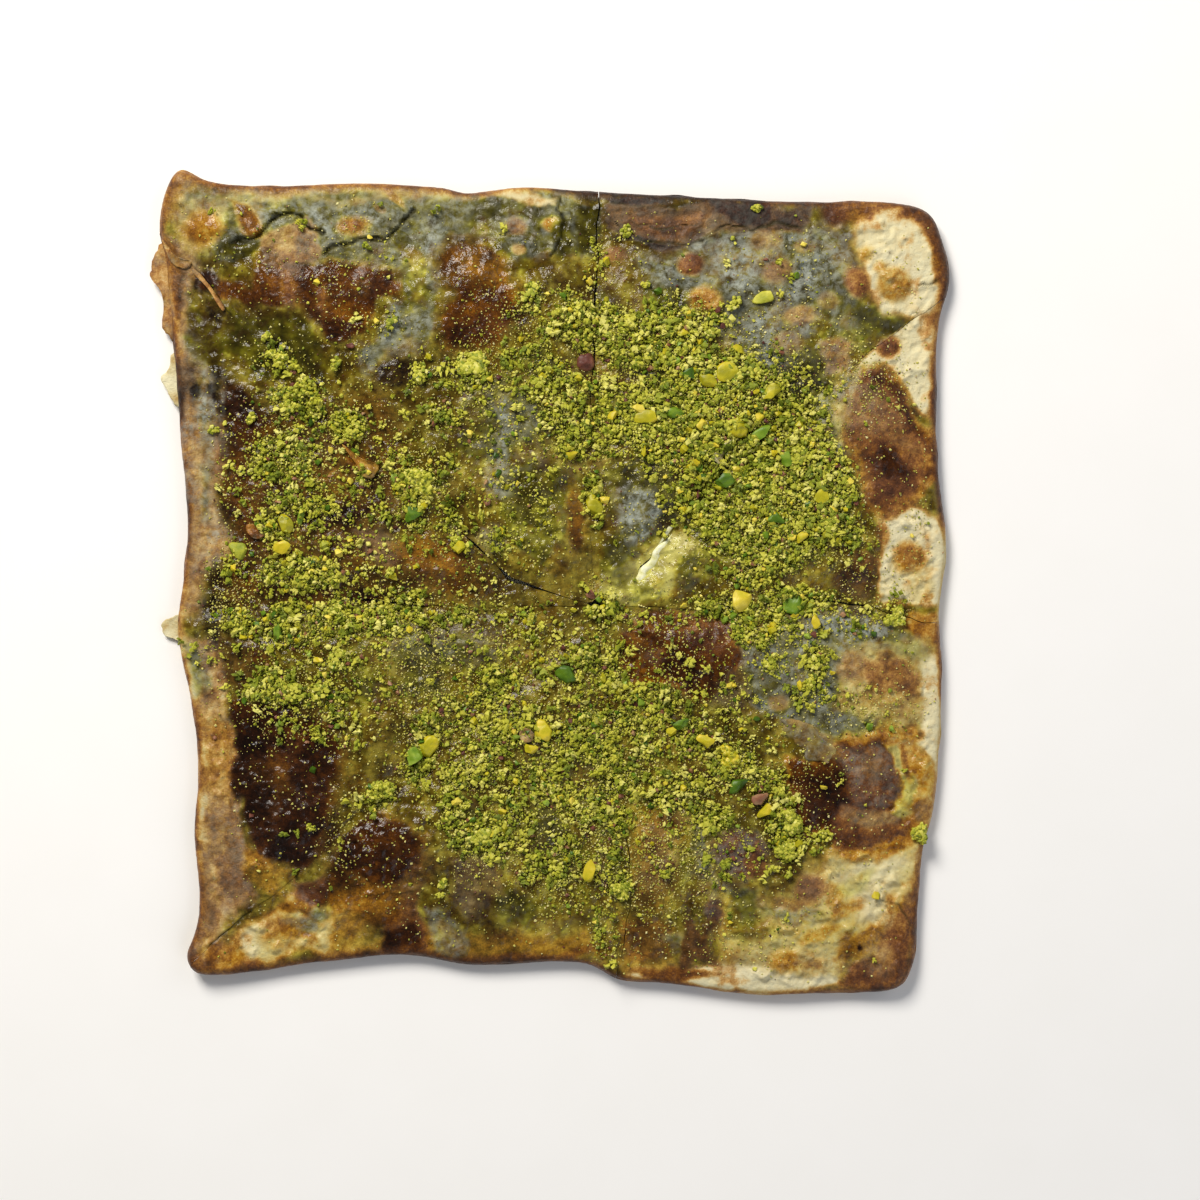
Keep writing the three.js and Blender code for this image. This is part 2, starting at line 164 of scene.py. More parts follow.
def smooth_loop(corners, steps_each=40):
    """Points along a centripetal Catmull-Rom curve through the corners, closed."""
    before, start, end, after = (np.roll(corners, shift, 0)[:, None] for shift in (1, 0, -1, -2))
    spans = [np.sqrt(np.linalg.norm(b - a, axis=-1, keepdims=True))
             for a, b in ((before, start), (start, end), (end, after))]
    leave = ((start - before) / spans[0] - (end - before) / (spans[0] + spans[1])
             + (end - start) / spans[1]) * spans[1]
    arrive = ((end - start) / spans[1] - (after - start) / (spans[1] + spans[2])
              + (after - end) / spans[2]) * spans[1]
    t = np.linspace(0, 1, steps_each, endpoint=False)[None, :, None]
    curve = (start + leave * t + (3 * (end - start) - 2 * leave - arrive) * t**2
             + (2 * (start - end) + leave + arrive) * t**3)
    return curve.reshape(-1, 2)


def lengths_along(path):
    """How far along a path each of its corners is."""
    return np.concatenate([[0], np.cumsum(np.linalg.norm(np.diff(path, axis=0), axis=1))])


def walk(path, shares):
    """Places at these shares of a path's length."""
    reached = lengths_along(path)
    at = np.asarray(shares) * reached[-1]
    return np.stack([np.interp(at, reached, path[:, k]) for k in (0, 1)], -1)


fine_loop = smooth_loop(OUTLINE)
closed_loop = np.vstack([fine_loop, fine_loop[:1]])
outline_points = walk(closed_loop, np.arange(OUTLINE_STEPS) / OUTLINE_STEPS)
cut_paths = {name: np.vstack([MIDDLE, table(way)]) for name, (_, way) in CUTS.items()}
print("outline, mm:", outline_points.min(0).round(1), outline_points.max(0).round(1))

# %% [markdown]
# ## Maps in plan
# Almost everything about the katmer depends only on the place seen from above, so each
# such thing is worked out once on a grid of half-millimetre squares and read from there
# by every piece that needs it. The first map is how far each place lies inside the edge:
# the distance to the nearest side of the outline, less than zero outside.

# %% The grid, and reading between its points
GRID_STEP, GRID_MARGIN = 0.5, 4
grid_low = box_low[:2] - GRID_MARGIN
grid_count = np.ceil((box_high[:2] + GRID_MARGIN - grid_low) / GRID_STEP).astype(int) + 1
GRID_X, GRID_Y = np.meshgrid(*(grid_low[k] + GRID_STEP * np.arange(grid_count[k]) for k in (0, 1)))


def read(grid, x, y):
    """A map's values at any places, blended between the four grid points around each."""
    across = np.clip((x - grid_low[0]) / GRID_STEP, 0, grid_count[0] - 1.001)
    along = np.clip((y - grid_low[1]) / GRID_STEP, 0, grid_count[1] - 1.001)
    column, row = across.astype(int), along.astype(int)
    u, v = across - column, along - row
    low = grid[row, column] * (1 - u) + grid[row, column + 1] * u
    high = grid[row + 1, column] * (1 - u) + grid[row + 1, column + 1] * u
    return low * (1 - v) + high * v


def lumps(size, seed, octaves=4):
    """Rough noise over the whole grid, its lumps about `size` mm across."""
    return rough(GRID_X, GRID_Y, size, seed, octaves)


def beside_path(x, y, path, closed=False):
    """How far each place is from the path's nearest point, and whether it lies on its left."""
    nearest, left = np.full(np.shape(x), np.inf), np.zeros(np.shape(x), bool)
    for (ax, ay), (bx, by) in zip(path, np.roll(path, -1, 0) if closed else path[1:]):
        run_x, run_y = bx - ax, by - ay
        share = np.clip(((x - ax) * run_x + (y - ay) * run_y) / (run_x**2 + run_y**2), 0, 1)
        away = (x - ax - share * run_x) ** 2 + (y - ay - share * run_y) ** 2
        closer = away < nearest
        left = np.where(closer, run_x * (y - ay) - run_y * (x - ax) > 0, left)
        nearest = np.where(closer, away, nearest)
    return np.sqrt(nearest), left


def distance_to_path(x, y, path, closed=False):
    return beside_path(x, y, path, closed)[0]


def is_inside(x, y, loop):
    """Whether each place is inside a closed loop: a ray to the right crosses it odd times."""
    inside = np.zeros(np.shape(x), bool)
    for (ax, ay), (bx, by) in zip(loop, np.roll(loop, -1, 0)):
        if ay != by:
            inside ^= ((ay > y) != (by > y)) & (x < (bx - ax) * (y - ay) / (by - ay) + ax)
    return inside


def inset_in(x, y, loop):
    """How far each place lies inside a closed loop, less than zero outside."""
    away = distance_to_path(x, y, loop, closed=True)
    return np.where(is_inside(x, y, loop), away, -away)


COARSE = 2  # the distance changes evenly, so every second grid point is enough to know it


def spread(coarse):
    """Fills a coarse map out to every grid point."""
    wide, full = (np.arange(count) / COARSE for count in grid_count)
    lines = np.stack([np.interp(wide, np.arange(coarse.shape[1]), line) for line in coarse])
    return np.stack([np.interp(full, np.arange(coarse.shape[0]), line) for line in lines.T], 1)


INSET = spread(inset_in(GRID_X[::COARSE, ::COARSE], GRID_Y[::COARSE, ::COARSE], outline_points[::4]))
cut_away = np.min([distance_to_path(GRID_X, GRID_Y, path) for path in cut_paths.values()], 0)


def next_to(name):
    return SLICES[(SLICES.index(name) + 1) % len(SLICES)]


def slice_mask(name):
    """Which places lie in a slice: inside its two cuts and a far corner between them."""
    first, second = cut_paths[name], cut_paths[next_to(name)]
    far = MIDDLE + 0.95 * (first[-1] + second[-1] - 2 * MIDDLE)
    return is_inside(GRID_X, GRID_Y, np.vstack([first, far, second[:0:-1]]))


IN_SLICE = {name: slice_mask(name) for name in SLICES}
print(f"grid {GRID_X.shape}, deepest inside {INSET.max():.1f} mm, {since_start()}")

# %% [markdown]
# ## How high it stands
# The fold at the outer edge is a thin roll. From there the top climbs to a crown, where
# the filling is, and the knife pressed it down again beside each cut. Fried corners curl
# up off the pan, and trapped steam lifts broad blisters. These are the same rules and
# sizes as the solids have, so the detailed skin and the plain solid agree.

# %% Heights
CROWN_HEIGHT, RIM_HEIGHT, RIM_RISE = 11, 6.5, 46
ROLL_RADIUS, ROLL_MIDDLE, ROLL_FLAT = 3.4, 2.9, 0.8
CUT_PRESS, CUT_PRESS_REACH = 2.6, 9
TOP_SHEET, BOTTOM_SHEET = 1.9, 1.5
OUTER_FOLD, FILLING_START, CLEARANCE = 10, 9, 0.3
CURLS = table("-138,150,46,4.6 -134,-142,34,2.8 146,132,30,1.6 134,-148,30,1.8")  # x, y, reach, lift
BLISTERS = table(  # middle, half-sizes and rise
    "122,52,22,28,2.2 116,-76,24,22,2.4 -84,110,26,15,1.3 -24,104,17,20,1.2 44,-30,20,13,1.2 "
    "-97,-80,18,30,-1.8 -66,-100,13,13,1.4")


def curl_lift(x, y):
    return sum(lift * np.maximum(0, 1 - np.hypot(x - cx, y - cy) / reach) ** 2
               for cx, cy, reach, lift in CURLS)


def roll(inset):
    """A quarter circle's rise: 0 at the outer edge, 1 where the rounding ends."""
    return np.sqrt(1 - (1 - np.clip(inset / ROLL_RADIUS, 0, 1)) ** 2)


def plain_top(x, y, inset, near_cut):
    edge = ROLL_MIDDLE + ROLL_FLAT
    rim = edge + (RIM_HEIGHT - edge) * roll(inset)
    pressed = CUT_PRESS * np.exp(-((near_cut / CUT_PRESS_REACH) ** 2))
    crown = (CROWN_HEIGHT - RIM_HEIGHT - pressed) * smooth(inset, 0, RIM_RISE)
    swell = sum(rise * np.exp(-(((x - bx) / rx) ** 2) - ((y - by) / ry) ** 2)
                for bx, by, rx, ry, rise in BLISTERS)
    return rim + crown + swell * np.minimum(1, inset / RIM_RISE + 0.2) * roll(inset) + curl_lift(x, y)


def plain_bottom(x, y, inset):
    return (ROLL_MIDDLE - ROLL_FLAT) * (1 - roll(inset)) + curl_lift(x, y)


PLAIN_TOP = plain_top(GRID_X, GRID_Y, np.maximum(INSET, 0), cut_away)
print("plain crown, mm:", PLAIN_TOP.max().round(2))

# %% [markdown]
# ## Heat, butter and what shows through
# A fried sheet of dough is never one colour. Four things decide how a place looks:
# `toast`, how far the pan browned it; `wet`, how much butter it drank, which turns it
# glassy and dark; `soak`, how much of the green filling shows through the wet film; and
# `frost`, a grey-white veil: where the film has dried to a thin grey-white skin, and also
# painted highlights, pale streaks where light shines off the glossy film. The material
# later turns these four into colours. Here they are painted in plan, as a cook would point
# them out: broad places first, then blisters and scorches on top, each with an uneven edge.
# A few strokes are painted highlights or painted shade, and a note says so where they stand.
#
# A row of the painter's list says a state, its places and its settings. Two places are an
# oval's middle and half-sizes, and more are the corners of a free outline, in mm. `soft` is
# how soft the edge is: a share of an oval's size, or mm. `cover` is how strongly it is laid
# on, `lift` how far it domes up, `turn` an oval's angle, `only` the slice that it keeps to,
# and `wander` how far its edge strays. A row may run on, indented, in the next line.

# %% States of the baked skin: toast, wet, soak, and frost with painted sheen
MASKS = ("toast", "wet", "soak", "frost")
STATES = {
    "raw": (0.03, 0.1, 0.0, 0.0),
    "buttery": (0.08, 0.75, 0.05, 0.0),
    "cream": (0.1, 0.35, 0.2, 0.12),
    "tan": (0.36, 0.2, 0.15, 0.2),
    "torn": (0.34, 0.25, 0.0, 0.1),
    "gold": (0.3, 0.8, 0.0, 0.0),
    "honey": (0.22, 1.0, 0.0, 0.0),
    "amber": (0.44, 1.0, 0.03, 0.0),
    "orange": (0.5, 0.7, 0.0, 0.0),
    "blister": (0.5, 0.3, 0.0, 0.0),
    "rind": (0.67, 0.2, 0.15, 0.1),
    "mahogany": (0.64, 0.45, 0.0, 0.0),
    "rust": (0.76, 1.0, 0.0, 0.0),
    "plum": (0.6, 0.3, 0.0, 0.28),
    "dark": (0.86, 1.0, 0.0, 0.0),
    "char": (0.97, 0.1, 0.0, 0.1),
    "olive": (0.36, 0.9, 0.8, 0.05),
    "deep olive": (0.5, 1.0, 1.0, 0.0),
    "green brown": (0.64, 1.0, 0.42, 0.0),
    "film": (0.22, 0.5, 0.7, 0.45),
    # dried grey-white film; the same state also lays painted highlights, pale streaks where light shines
    # off wet film
    "frost": (0.42, 0.3, 0.9, 0.78),
    "lime film": (0.0, 1.0, 0.26, 0.0),
    "milky": (0.12, 0.4, 0.6, 0.46),
    "silk": (0.28, 0.45, 0.6, 0.68),
    "torn grey": (0.48, 0.4, 0.4, 0.22),
    "brown": (0.66, 1.0, 0.0, 0.0),
    "chestnut": (0.62, 1.0, 0.0, 0.0),
}
print(len(STATES), "states of the skin")

# %% The painter's list, broad places first
# painted highlight: a line of glints on the wet film
# painted highlight: a pale sheen line along the north film
# painted highlight: a pale streak where light shines off the wet film
# painted highlights: two pale streaks where light shines off the glossy film
# painted shade: a dark pocket in a hollow by the north-west corner, where shadow falls
STROKES = """
green brown: 0,0 400,400; soft 0.1
# olive and film regions
olive: 20,120 60,112 100,78 112,30 100,4 30,2 18,30; soft 8 cover 0.8
film: -140,146 -60,149 18,147 16,120 -18,119 -22,124 -36,127 -44,112 -54,98 -66,84 -54,88 -44,100
  -52,118 -84,122 -104,124 -122,120 -136,128; soft 3 cover 0.95
silk: -96,146 -34,146 -24,138 -40,128 -48,112 -56,128 -64,131 -84,130 -92,138; soft 3 cover 0.75
milky: -134,144 -118,147 -70,148 -28,146 -28,137 -40,129 -46,104 -56,92 -62,84 -50,84 -40,98 -44,116
  -54,122 -60,130 -84,131 -100,139 -118,142 -130,138; soft 4 cover 0.55
frost: 60,130 80,133 98,131 112,128 117,118 112,105 100,98 92,84 84,72 76,80 64,92 58,102 34,112 30,118
  48,124; soft 4 cover 0.74 only nne
olive: 98,104 112,108 118,102 128,100 136,99 119,86 108,78 96,70 88,66 92,82 100,92; soft 2.4 cover 0.9
  only nne
silk: 104,100 114,104 112,94 102,88; soft 3 cover 0.6 only nne
raw: 112,130 116,141 128,143 140,139 146,128 150,112 150,102 138,100 124,99 119,108 117,117; only nne
  wander 0.6
raw: 110,74 122,92 140,110 152,106 148,80 144,62 138,64 131,74 124,81 116,80; soft 1.4 only ene wander
  0.5
silk: 84,52 98,72 110,82 112,76 106,68 105,56 110,44 96,42; soft 2.4 cover 0.85 only ene
raw: 119,26 128,28 139,25 146,20 149,8 147,-10 134,-9 124,-6 121,4 119,14; soft 1.8
frost: 66,-12 80,-18 102,-12 119,-10 131,-16 140,-22 141,-40 136,-27 120,-26 106,-28 102,-42 112,-52
  92,-52 78,-44 72,-36 68,-28; soft 3 cover 0.95
silk: 84,-18 104,-16 120,-14 124,-22 108,-27 100,-36 88,-32; soft 2.5 cover 0.8 only ese
silk: 99,-23 10,5; cover 0.8 turn -20
milky: 101,-22 7,3.4; cover 0.7 turn -20
cream: 118,-20 140,-20 147,-34 147,-60 138,-56 114,-54 104,-46 106,-30; soft 3 cover 0.8
raw: 138,-28 148,-26 147,-80 143,-86 138,-80 140,-64 137,-56 134,-50 137,-40
buttery: 137,0 5,9; cover 0.6
buttery: 122,-106 12,7; cover 0.5 turn -20
film: 82,-42 104,-44 116,-53 104,-58 88,-56; soft 3 cover 0.8
cream: 66,-112 84,-118 96,-110 104,-102 118,-100 128,-98 140,-90 139,-112 124,-128 112,-140 104,-152
  56,-153 62,-144 72,-136 62,-126 70,-120; soft 5 cover 0.9
buttery: 104,-102 118,-101 129,-98 137,-94 138,-106 128,-118 116,-130 106,-136 98,-128 102,-114; soft 3
  cover 0.9
raw: 112,-104 126,-101 131,-106 118,-118 110,-122; soft 4 cover 0.8
raw: 64,-142 80,-142 98,-146 108,-153 64,-154 30,-150 34,-143
olive: -22,-112 10,-110 24,-116 24,-132 4,-129 -16,-128; soft 3 cover 0.85
green brown: -60,-20 10,-20 16,-110 -40,-108 -60,-70; soft 8 cover 0.8
olive: -40,-84 0,-80 20,-104 0,-112 -30,-104; soft 5 cover 0.7
olive: -78,-20 -30,-26 -34,-46 -70,-50; soft 5 cover 0.7
film: -60,-16 -20,-18 -10,-26 -26,-34 -60,-26; soft 4 cover 0.5
brown: -122,66 -60,74 -50,40 -58,14 -30,16 -8,-6 -122,-16; soft 6 cover 0.85
olive: -30,82 -2,84 12,70 14,30 10,8 -6,6 -26,30 -34,56; soft 4 cover 0.85
film: -22,74 -12,78 -2,60 -4,44 -12,30 -20,44; soft 3 cover 0.6
# the west rim
tan: -144,132 -135,127 -131,118 -133,104 -130,88 -123,76 -120,40 -121,8 -126,-8 -142,-12 -139,60
  -146,118; soft 3.4
frost: -131,92 -126,88 -124,60 -126,20 -130,20 -130,60; cover 0.4
orange: -139,108 4,20; cover 0.7 turn 4
orange: -137,52 3,30; cover 0.6 turn 1
tan: -139,-12 -122,-20 -119,-50 -119,-78 -113,-96 -110,-112 -126,-130 -136,-136 -134,-80; soft 1.6
rind: -130,-80 -122,-82 -116,-100 -116,-114 -126,-128 -132,-130; soft 2.5 cover 0.7
orange: -133,-44 3,26; cover 0.7 turn 4
orange: -124,-62 5,14; cover 0.5
# north-west slice
tan: -138,148 7,5; cover 0.8
gold: -140,145 4,9; cover 0.6
cream: -138,144 -112,146 -70,146 -30,144 -36,140 -70,141 -100,142 -120,140 -124,128 -134,124 -139,130;
  cover 0.6
deep olive: -124,128 -118,126 -108,126 -106,121 -114,119 -124,122; soft 1.6 cover 0.9
gold: -128,131 7.5,6.5; soft 0.45 lift 0.7
orange: -128,131 5,4; soft 0.8 cover 0.2
amber: -117,141 -109,141 -104,134 -105,128 -112,127 -118,133; soft 1.8 lift 0.6
orange: -110,134 4,4; soft 0.8 cover 0.3
tan: -106,126 -103,131 -99,134 -94,136 -90,134 -86,130 -83,127 -84,122 -95,120 -106,121; soft 1.2 lift
  0.4
chestnut: -107,122 -98,120 -84,122 -80,123 -68,121 -60,117 -56,111 -51,106 -54,101 -62,100 -64,92 -72,87
  -82,88 -92,92 -93,99 -101,101 -106,106 -112,108; soft 1.8 lift 0.3
rind: -106,122 -96,122 -88,121 -90,116 -98,114 -106,115; soft 2.4 cover 0.5
amber: -95.5,106 3,10; soft 0.6 cover 0.8 turn 6
orange: -95.5,106 1.8,8; cover 0.9 lift 0.5 turn 6
amber: -84,105 2.8,8; soft 0.6 cover 0.7 turn 4
orange: -84,105 1.6,7; cover 0.8 lift 0.4 turn 4
orange: -91,95 2.6,3.4; cover 0.8
amber: -69,109 4,4; cover 0.5
dark: -76,94 9,5; cover 0.5
dark: -59,113 1.6,3.4; cover 0.9
chestnut: -125,113 -112,112 -106,108 -108,103 -119,104
brown: -125,103 -113,104 -109,96 -113,90 -123,92; soft 3 cover 0.85
deep olive: -116,102 -94,99 -80,86 -84,76 -104,78 -118,88; soft 4
amber: -72,133 6.5,3.6; soft 0.6 lift 0.5
orange: -72,133 3,1.6; soft 0.8
olive: -58,128 -44,128 -40,112 -40,98 -52,98 -54,112; soft 3 cover 0.85
lime film: -47,113 4.6,11; cover 0.7
frost: -40,121 3,15; cover 0.7 turn -4
frost: -33,136 14,3; cover 0.5 turn 10
amber: -57,143 1.6,6; cover 0.7 turn 40
amber: -62,138 1.4,3; cover 0.6 turn 50
chestnut: -41,121 -34,125 -23,122 -18,116 -12,110 -10,98 -13,86 -25,83 -38,85 -43,92 -37,104 -38,113;
  soft 4 lift 0.4
amber: -27,116 9,8; soft 0.5 cover 0.9
dark: -28,91 9,6; cover 0.7
dark: -55,78 9,5; cover 0.85 turn 10
frost: -60,89 3,12; cover 0.8 turn -32
frost: -46,94 3,8; cover 0.6 turn -20
deep olive: -28,140 -4,142 2,138 -2,122 -22,120 -27,126; cover 0.7
film: -10,128 9,7; cover 0.7
tan: -12,132 4,3.4; lift 0.4
tan: -12,123 3,2.4; lift 0.3
gold: 2,133 4,3.2; lift 0.4
raw: -30,146 4,145 6,141 -12,141 -28,142; soft 1.2 cover 0.9
deep olive: 5,127 4,8; cover 0.9
deep olive: 9,142 17,142 17,120 10,121; soft 1.2
dark: 14,143 5,3; cover 0.8
deep olive: -9,36 4,5
deep olive: -6,40 8,16; cover 0.6
olive: -1,20 9,12; cover 0.8
lime film: -2,21 5.6,9; cover 0.6
silk: -18,38 6,9; cover 0.75 turn -20
silk: -21,16 5,5; cover 0.7
brown: 3,8 5,6; cover 0.6
brown: 9,24 4,16; cover 0.9
frost: -14,58 1.8,13; cover 0.9 turn 2
# west slice
dark: -127,112 5,5; turn 40
deep olive: -130,100 -122,98 -114,86 -122,80 -130,84; cover 0.8
brown: -122,78 -108,74 -104,62 -110,50 -110,34 -107,20 -110,0 -120,-4 -117,20 -118,40 -121,60; soft 5
  cover 0.8
rust: -122,76 -110,74 -108,62 -114,56 -122,62; soft 3 cover 0.8
dark: -129,72 4,3; cover 0.8
dark: -116,66 6,7; cover 0.5
dark: -86,32 -70,32 -64,26 -72,20 -88,22; cover 0.85
rind: -74,18 -56,18 -50,12 -58,6 -72,8; cover 0.85
amber: -74,48 -68,46 -63,40 -68,38; soft 0.8
amber: -56,14 -46,18 -36,10 -36,3 -50,2; cover 0.7
dark: -70,-5 6,3; cover 0.9
# north slice
rind: 19,141 30,144 60,142 80,141 99,140 98,131 86,131 70,129 60,127 40,124 28,126 21,130; soft 1.4
char: 57,143 80,142 82,136 72,132 60,134; soft 1.4 cover 0.95
char: 84,140 97,140 96,132 86,133; soft 2.5 cover 0.6
char: 30,143.5 12,1.6; cover 0.9
char: 34,126 12,1.4; cover 0.8
blister: 44,134 13,5; cover 0.7
blister: 52,118 5,4.6; soft 0.25 lift 1.4
blister: 24,121 4,3; cover 0.8 lift 0.5
gold: 57,105 6.6,5.5; lift 1.3
tan: 80,127 7,4; cover 0.8 lift 1
tan: 95,124 5,3.4; cover 0.7 lift 0.4
blister: 85,115 6,4.5; soft 0.4 cover 0.8 lift 1.1
blister: 103,104 4.5,4; cover 0.6 lift 0.5
tan: 93,99 6,4; lift 0.4
tan: 88,88 5.6,4.4; cover 0.8 lift 0.9
tan: 97,86 109,87 110,82 100,80; soft 1.4 lift 0.5
orange: 112,138 7,5; cover 0.9
mahogany: 106,137 5,6; soft 0.4
blister: 114,111 4.8,6.4; lift 0.7
honey: 127.5,110.5 6,6.4; soft 0.25 lift 1.1
amber: 128.5,109 3.6,4; soft 0.8 cover 0.5
honey: 117.5,122 2.6,2.8; soft 0.7 lift 0.4
honey: 123,117 2.6,2.2; soft 0.7 lift 0.3
orange: 128,143 142,140 148,126 149,112 144,112 142,124 136,133 127,138
# east slice, above its cut
blister: 125,88 4.4,4.2; soft 0.5 lift 0.7
gold: 104,70 112,78 122,81 133,73 140,63 145,52 143,38 137,27 128,24 118,26 114,36 110,46 104,56 102,64;
  soft 1.5 cover 0.9
blister: 108,68 114,75 122,78 132,70 138,61 144,52 142,38 134,30 126,29 119,32 114,42 109,52 106,62;
  lift 0.5
tan: 106,64 112,72 122,70 130,62 136,52 118,50 108,52; soft 3 cover 0.25
milky: 101,58 104,70 113,80 122,81 116,76 110,68 107,58 106,50; soft 2.6 cover 0.7 only ene
rust: 120,76 126,76 132,71 138,62 143,53 140,51 135,60 129,68 122,73; soft 1.4 cover 0.6
tan: 116,65 6,6; soft 0.8 cover 0.5
mahogany: 115,42 120,49 131,50 136,43 133,33 127,29 119,31; soft 2.4 cover 0.85
dark: 120,47 127,49 132,45 130,40 124,39 120,42; soft 1.6 cover 0.7 lift 0.5
gold: 136,50 144,50 143,38 138,28 134,29 138,40; soft 1.6 cover 0.8
orange: 129,29 7,3; cover 0.8
honey: 132,9.5 5.6,5.2; soft 0.5 lift 0.8
orange: 132,9.5 4.4,4; soft 0.8 cover 0.7
blister: 132,9.5 2.6,2.4; soft 0.8 cover 0.6
orange: 122,18 3,5; cover 0.7
mahogany: 109,14 119,14 121,4 121,-6 112,-7 106,-4 108,6; soft 1.8 cover 0.75
orange: 114,5 5,7; cover 0.5 turn 10
olive: 18,-8 28,-10 48,0 54,14 52,26 40,28 20,16; soft 3 cover 0.9
lime film: 18,-6 26,-9 40,-5 50,2 53,12 50,21 42,21 34,12 22,8; soft 3
lime film: 28,2 9,8; cover 0.8 turn 20
silk: 23,34 36,34 41,27 33,16 25,19; cover 0.9
frost: 25,33 35,33 39,26 33,18 26,20; soft 1.6 cover 0.8
olive: 50,4 5,9; cover 0.7 turn -30
deep olive: 42,22 3,4; cover 0.9 turn -30
# east slice, below its cut
tan: 112,-31 6,5; soft 0.5 lift 0.4
blister: 120,-30 132,-28 137,-36 134,-44 122,-45 118,-38; soft 2.6 cover 0.8 lift 0.6
gold: 128,-14 147,-12 147,-24 138,-22; soft 1.6
orange: 141,-18 5,5; cover 0.6
gold: 88,-64 100,-68 110,-56 126,-54 137,-56 141,-68 139,-84 134,-94 122,-101 108,-100 104,-92 94,-90
  88,-78; soft 1.2
rust: 89,-66 100,-70 108,-60 120,-57 126,-60 128,-72 126,-84 112,-82 106,-90 95,-88 89,-78; soft 1.8
  cover 0.9 lift 0.4
blister: 107,-84 118,-80 128,-84 127,-93 119,-99 109,-99 106,-92; soft 1.2 cover 0.9 lift 0.5
plum: 109,-62 117,-59 123,-61 126,-67 125,-76 120,-82 113,-83 108,-77 107,-68; soft 3 cover 0.9 lift 0.4
rind: 119,-66 4,5; soft 0.8 cover 0.6
mahogany: 115,-76 6,5; soft 0.8 cover 0.4 turn 20
lime film: 121,-58.5 128,-60 131.5,-66 131,-75 131,-82 127,-86 123,-84 126,-76 127.5,-68 125,-62; soft 1
  cover 0.85
honey: 122,-55 135,-56 139.5,-64 139,-78 134,-87 131,-84 132.5,-72 130,-61; soft 1.2 cover 0.9
orange: 131.4,-66 1.3,6; cover 0.8 turn 6
dark: 94,-76 104,-72 108,-82 106,-91 97,-88; soft 2.6 cover 0.8
tan: 108,-84 118,-82.5 127,-85.5 126,-89 112,-90; soft 1.2 cover 0.6
mahogany: 107,-92 118,-94 127,-90.5 131,-86 127,-94 116,-99 109,-99; soft 1.4 cover 0.7
gold: 108,-100 118,-99 128,-94 134,-87 137,-90 129,-100 120,-104 110,-103; soft 1.4 cover 0.9
orange: 24,-18 30,-10 50,-10 66,-14 70,-26 66,-36 56,-42 40,-40 30,-30
chestnut: 28,-18 36,-12 52,-12 64,-16 67,-26 62,-36 52,-40 40,-37 32,-28; soft 2.4
amber: 46,-15 16,3.4; cover 0.7 turn -4
amber: 32,-24 5,6; cover 0.5
orange: 60,-19 9,6; cover 0.8 turn -10
plum: 40,-27 4,3; cover 0.3
dark: 44,-27 58,-28 62,-36 50,-39 42,-34; soft 3 cover 0.9
rind: 64,-28 72,-34 74,-44 66,-44 60,-40; soft 2.4 cover 0.6
blister: 84,-43 4,3; cover 0.7
rind: 84,-50 94,-58 96,-66 108,-66 106,-58 96,-52; cover 0.7
# south slice, east of the cut
amber: 28,-86 40,-83 48,-92 46,-104 54,-116 40,-124 28,-120; soft 5 cover 0.6 only sse
orange: 37,-104 6,18; soft 0.6 cover 0.5
rind: 32,-90 42,-90 46,-104 38,-112 32,-108; soft 4 cover 0.45
olive: 44,-98 52,-98 56,-112 44,-118; soft 4 cover 0.5
film: 50,-92 58,-88 60,-108 70,-116 62,-120 54,-112; cover 0.7
plum: 60,-98 68,-91 80,-92 82,-98 74,-104 70,-110 62,-106; soft 1.8
plum: 62,-121 4,4; cover 0.95
mahogany: 76,-104 5,5; cover 0.9
mahogany: 44,-88 6,3; cover 0.5
olive: 68,-112 78,-114 80,-128 72,-132 66,-122; cover 0.85
orange: 28,-124 40,-123 46,-130 42,-140 30,-138; cover 0.85
mahogany: 46,-130 51,-121 57,-129 66,-124 61,-134 66,-142 55,-139 50,-146 45,-140; soft 2.4 cover 0.9
film: 40,-130 46,-130 46,-140 41,-138; soft 1.4 cover 0.6
gold: 36,-141 10,5; cover 0.6
orange: 46,-145 16,2.4; cover 0.9 turn -3
honey: 88,-139.5 5.6,4.4; soft 0.4 lift 0.8
amber: 89,-140 3,2.4; soft 0.8 cover 0.5
blister: 97,-113 5.5,4.5; soft 0.5 lift 0.4
orange: 90,-118 8,2.6; cover 0.6 turn -10
gold: 84,-128 7,2.4; cover 0.5
amber: 108,-132 120,-120 128,-114 124,-128 116,-138 106,-140; cover 0.85
blister: 126,-118 134,-112 138,-124 136,-144 129,-152 106,-153 112,-142 120,-134; soft 1.4
mahogany: 130,-124 137,-122 136,-144 129,-151 122,-150 128,-136; soft 3 cover 0.3
mahogany: 112,-148 7,3; cover 0.6 turn 20
mahogany: 133,-138 4,12; soft 0.7 cover 0.5 turn 6
tan: 122,-138 5,7; soft 0.8 cover 0.5 turn 20
raw: 117,-117 12,4; cover 0.6 turn -38
buttery: 66,-116 86,-122 100,-118 112,-124 106,-138 84,-134 68,-138; soft 3 cover 0.7
olive: 70,-116 82,-118 86,-130 76,-135 69,-128; soft 3 cover 0.45
silk: 92,-122 9,3.4; cover 0.6 turn -14
rind: 97,-113 5,4; soft 0.5 cover 0.6
orange: 108,-121 9,1.8; cover 0.4 turn 42
amber: 100,-130 7,2; cover 0.5 turn 24
lime film: 112,-112 9,2.4; cover 0.6 turn 38
dark: 115,-134 0.9,0.9
rind: 138,-84 4,5; cover 0.6
tan: 137,-104 2.5,12; cover 0.8 turn -8
# south slice, west of the cut
brown: 2,-119 18,6; soft 0.6 cover 0.35
deep olive: -18,-112 8,-110 22,-114 18,-124 -14,-124; soft 5 cover 0.5
amber: -52,-124 16,-130 20,-142 -52,-141; soft 2.5 cover 0.85
orange: -4,-138 22,2.4; cover 0.8
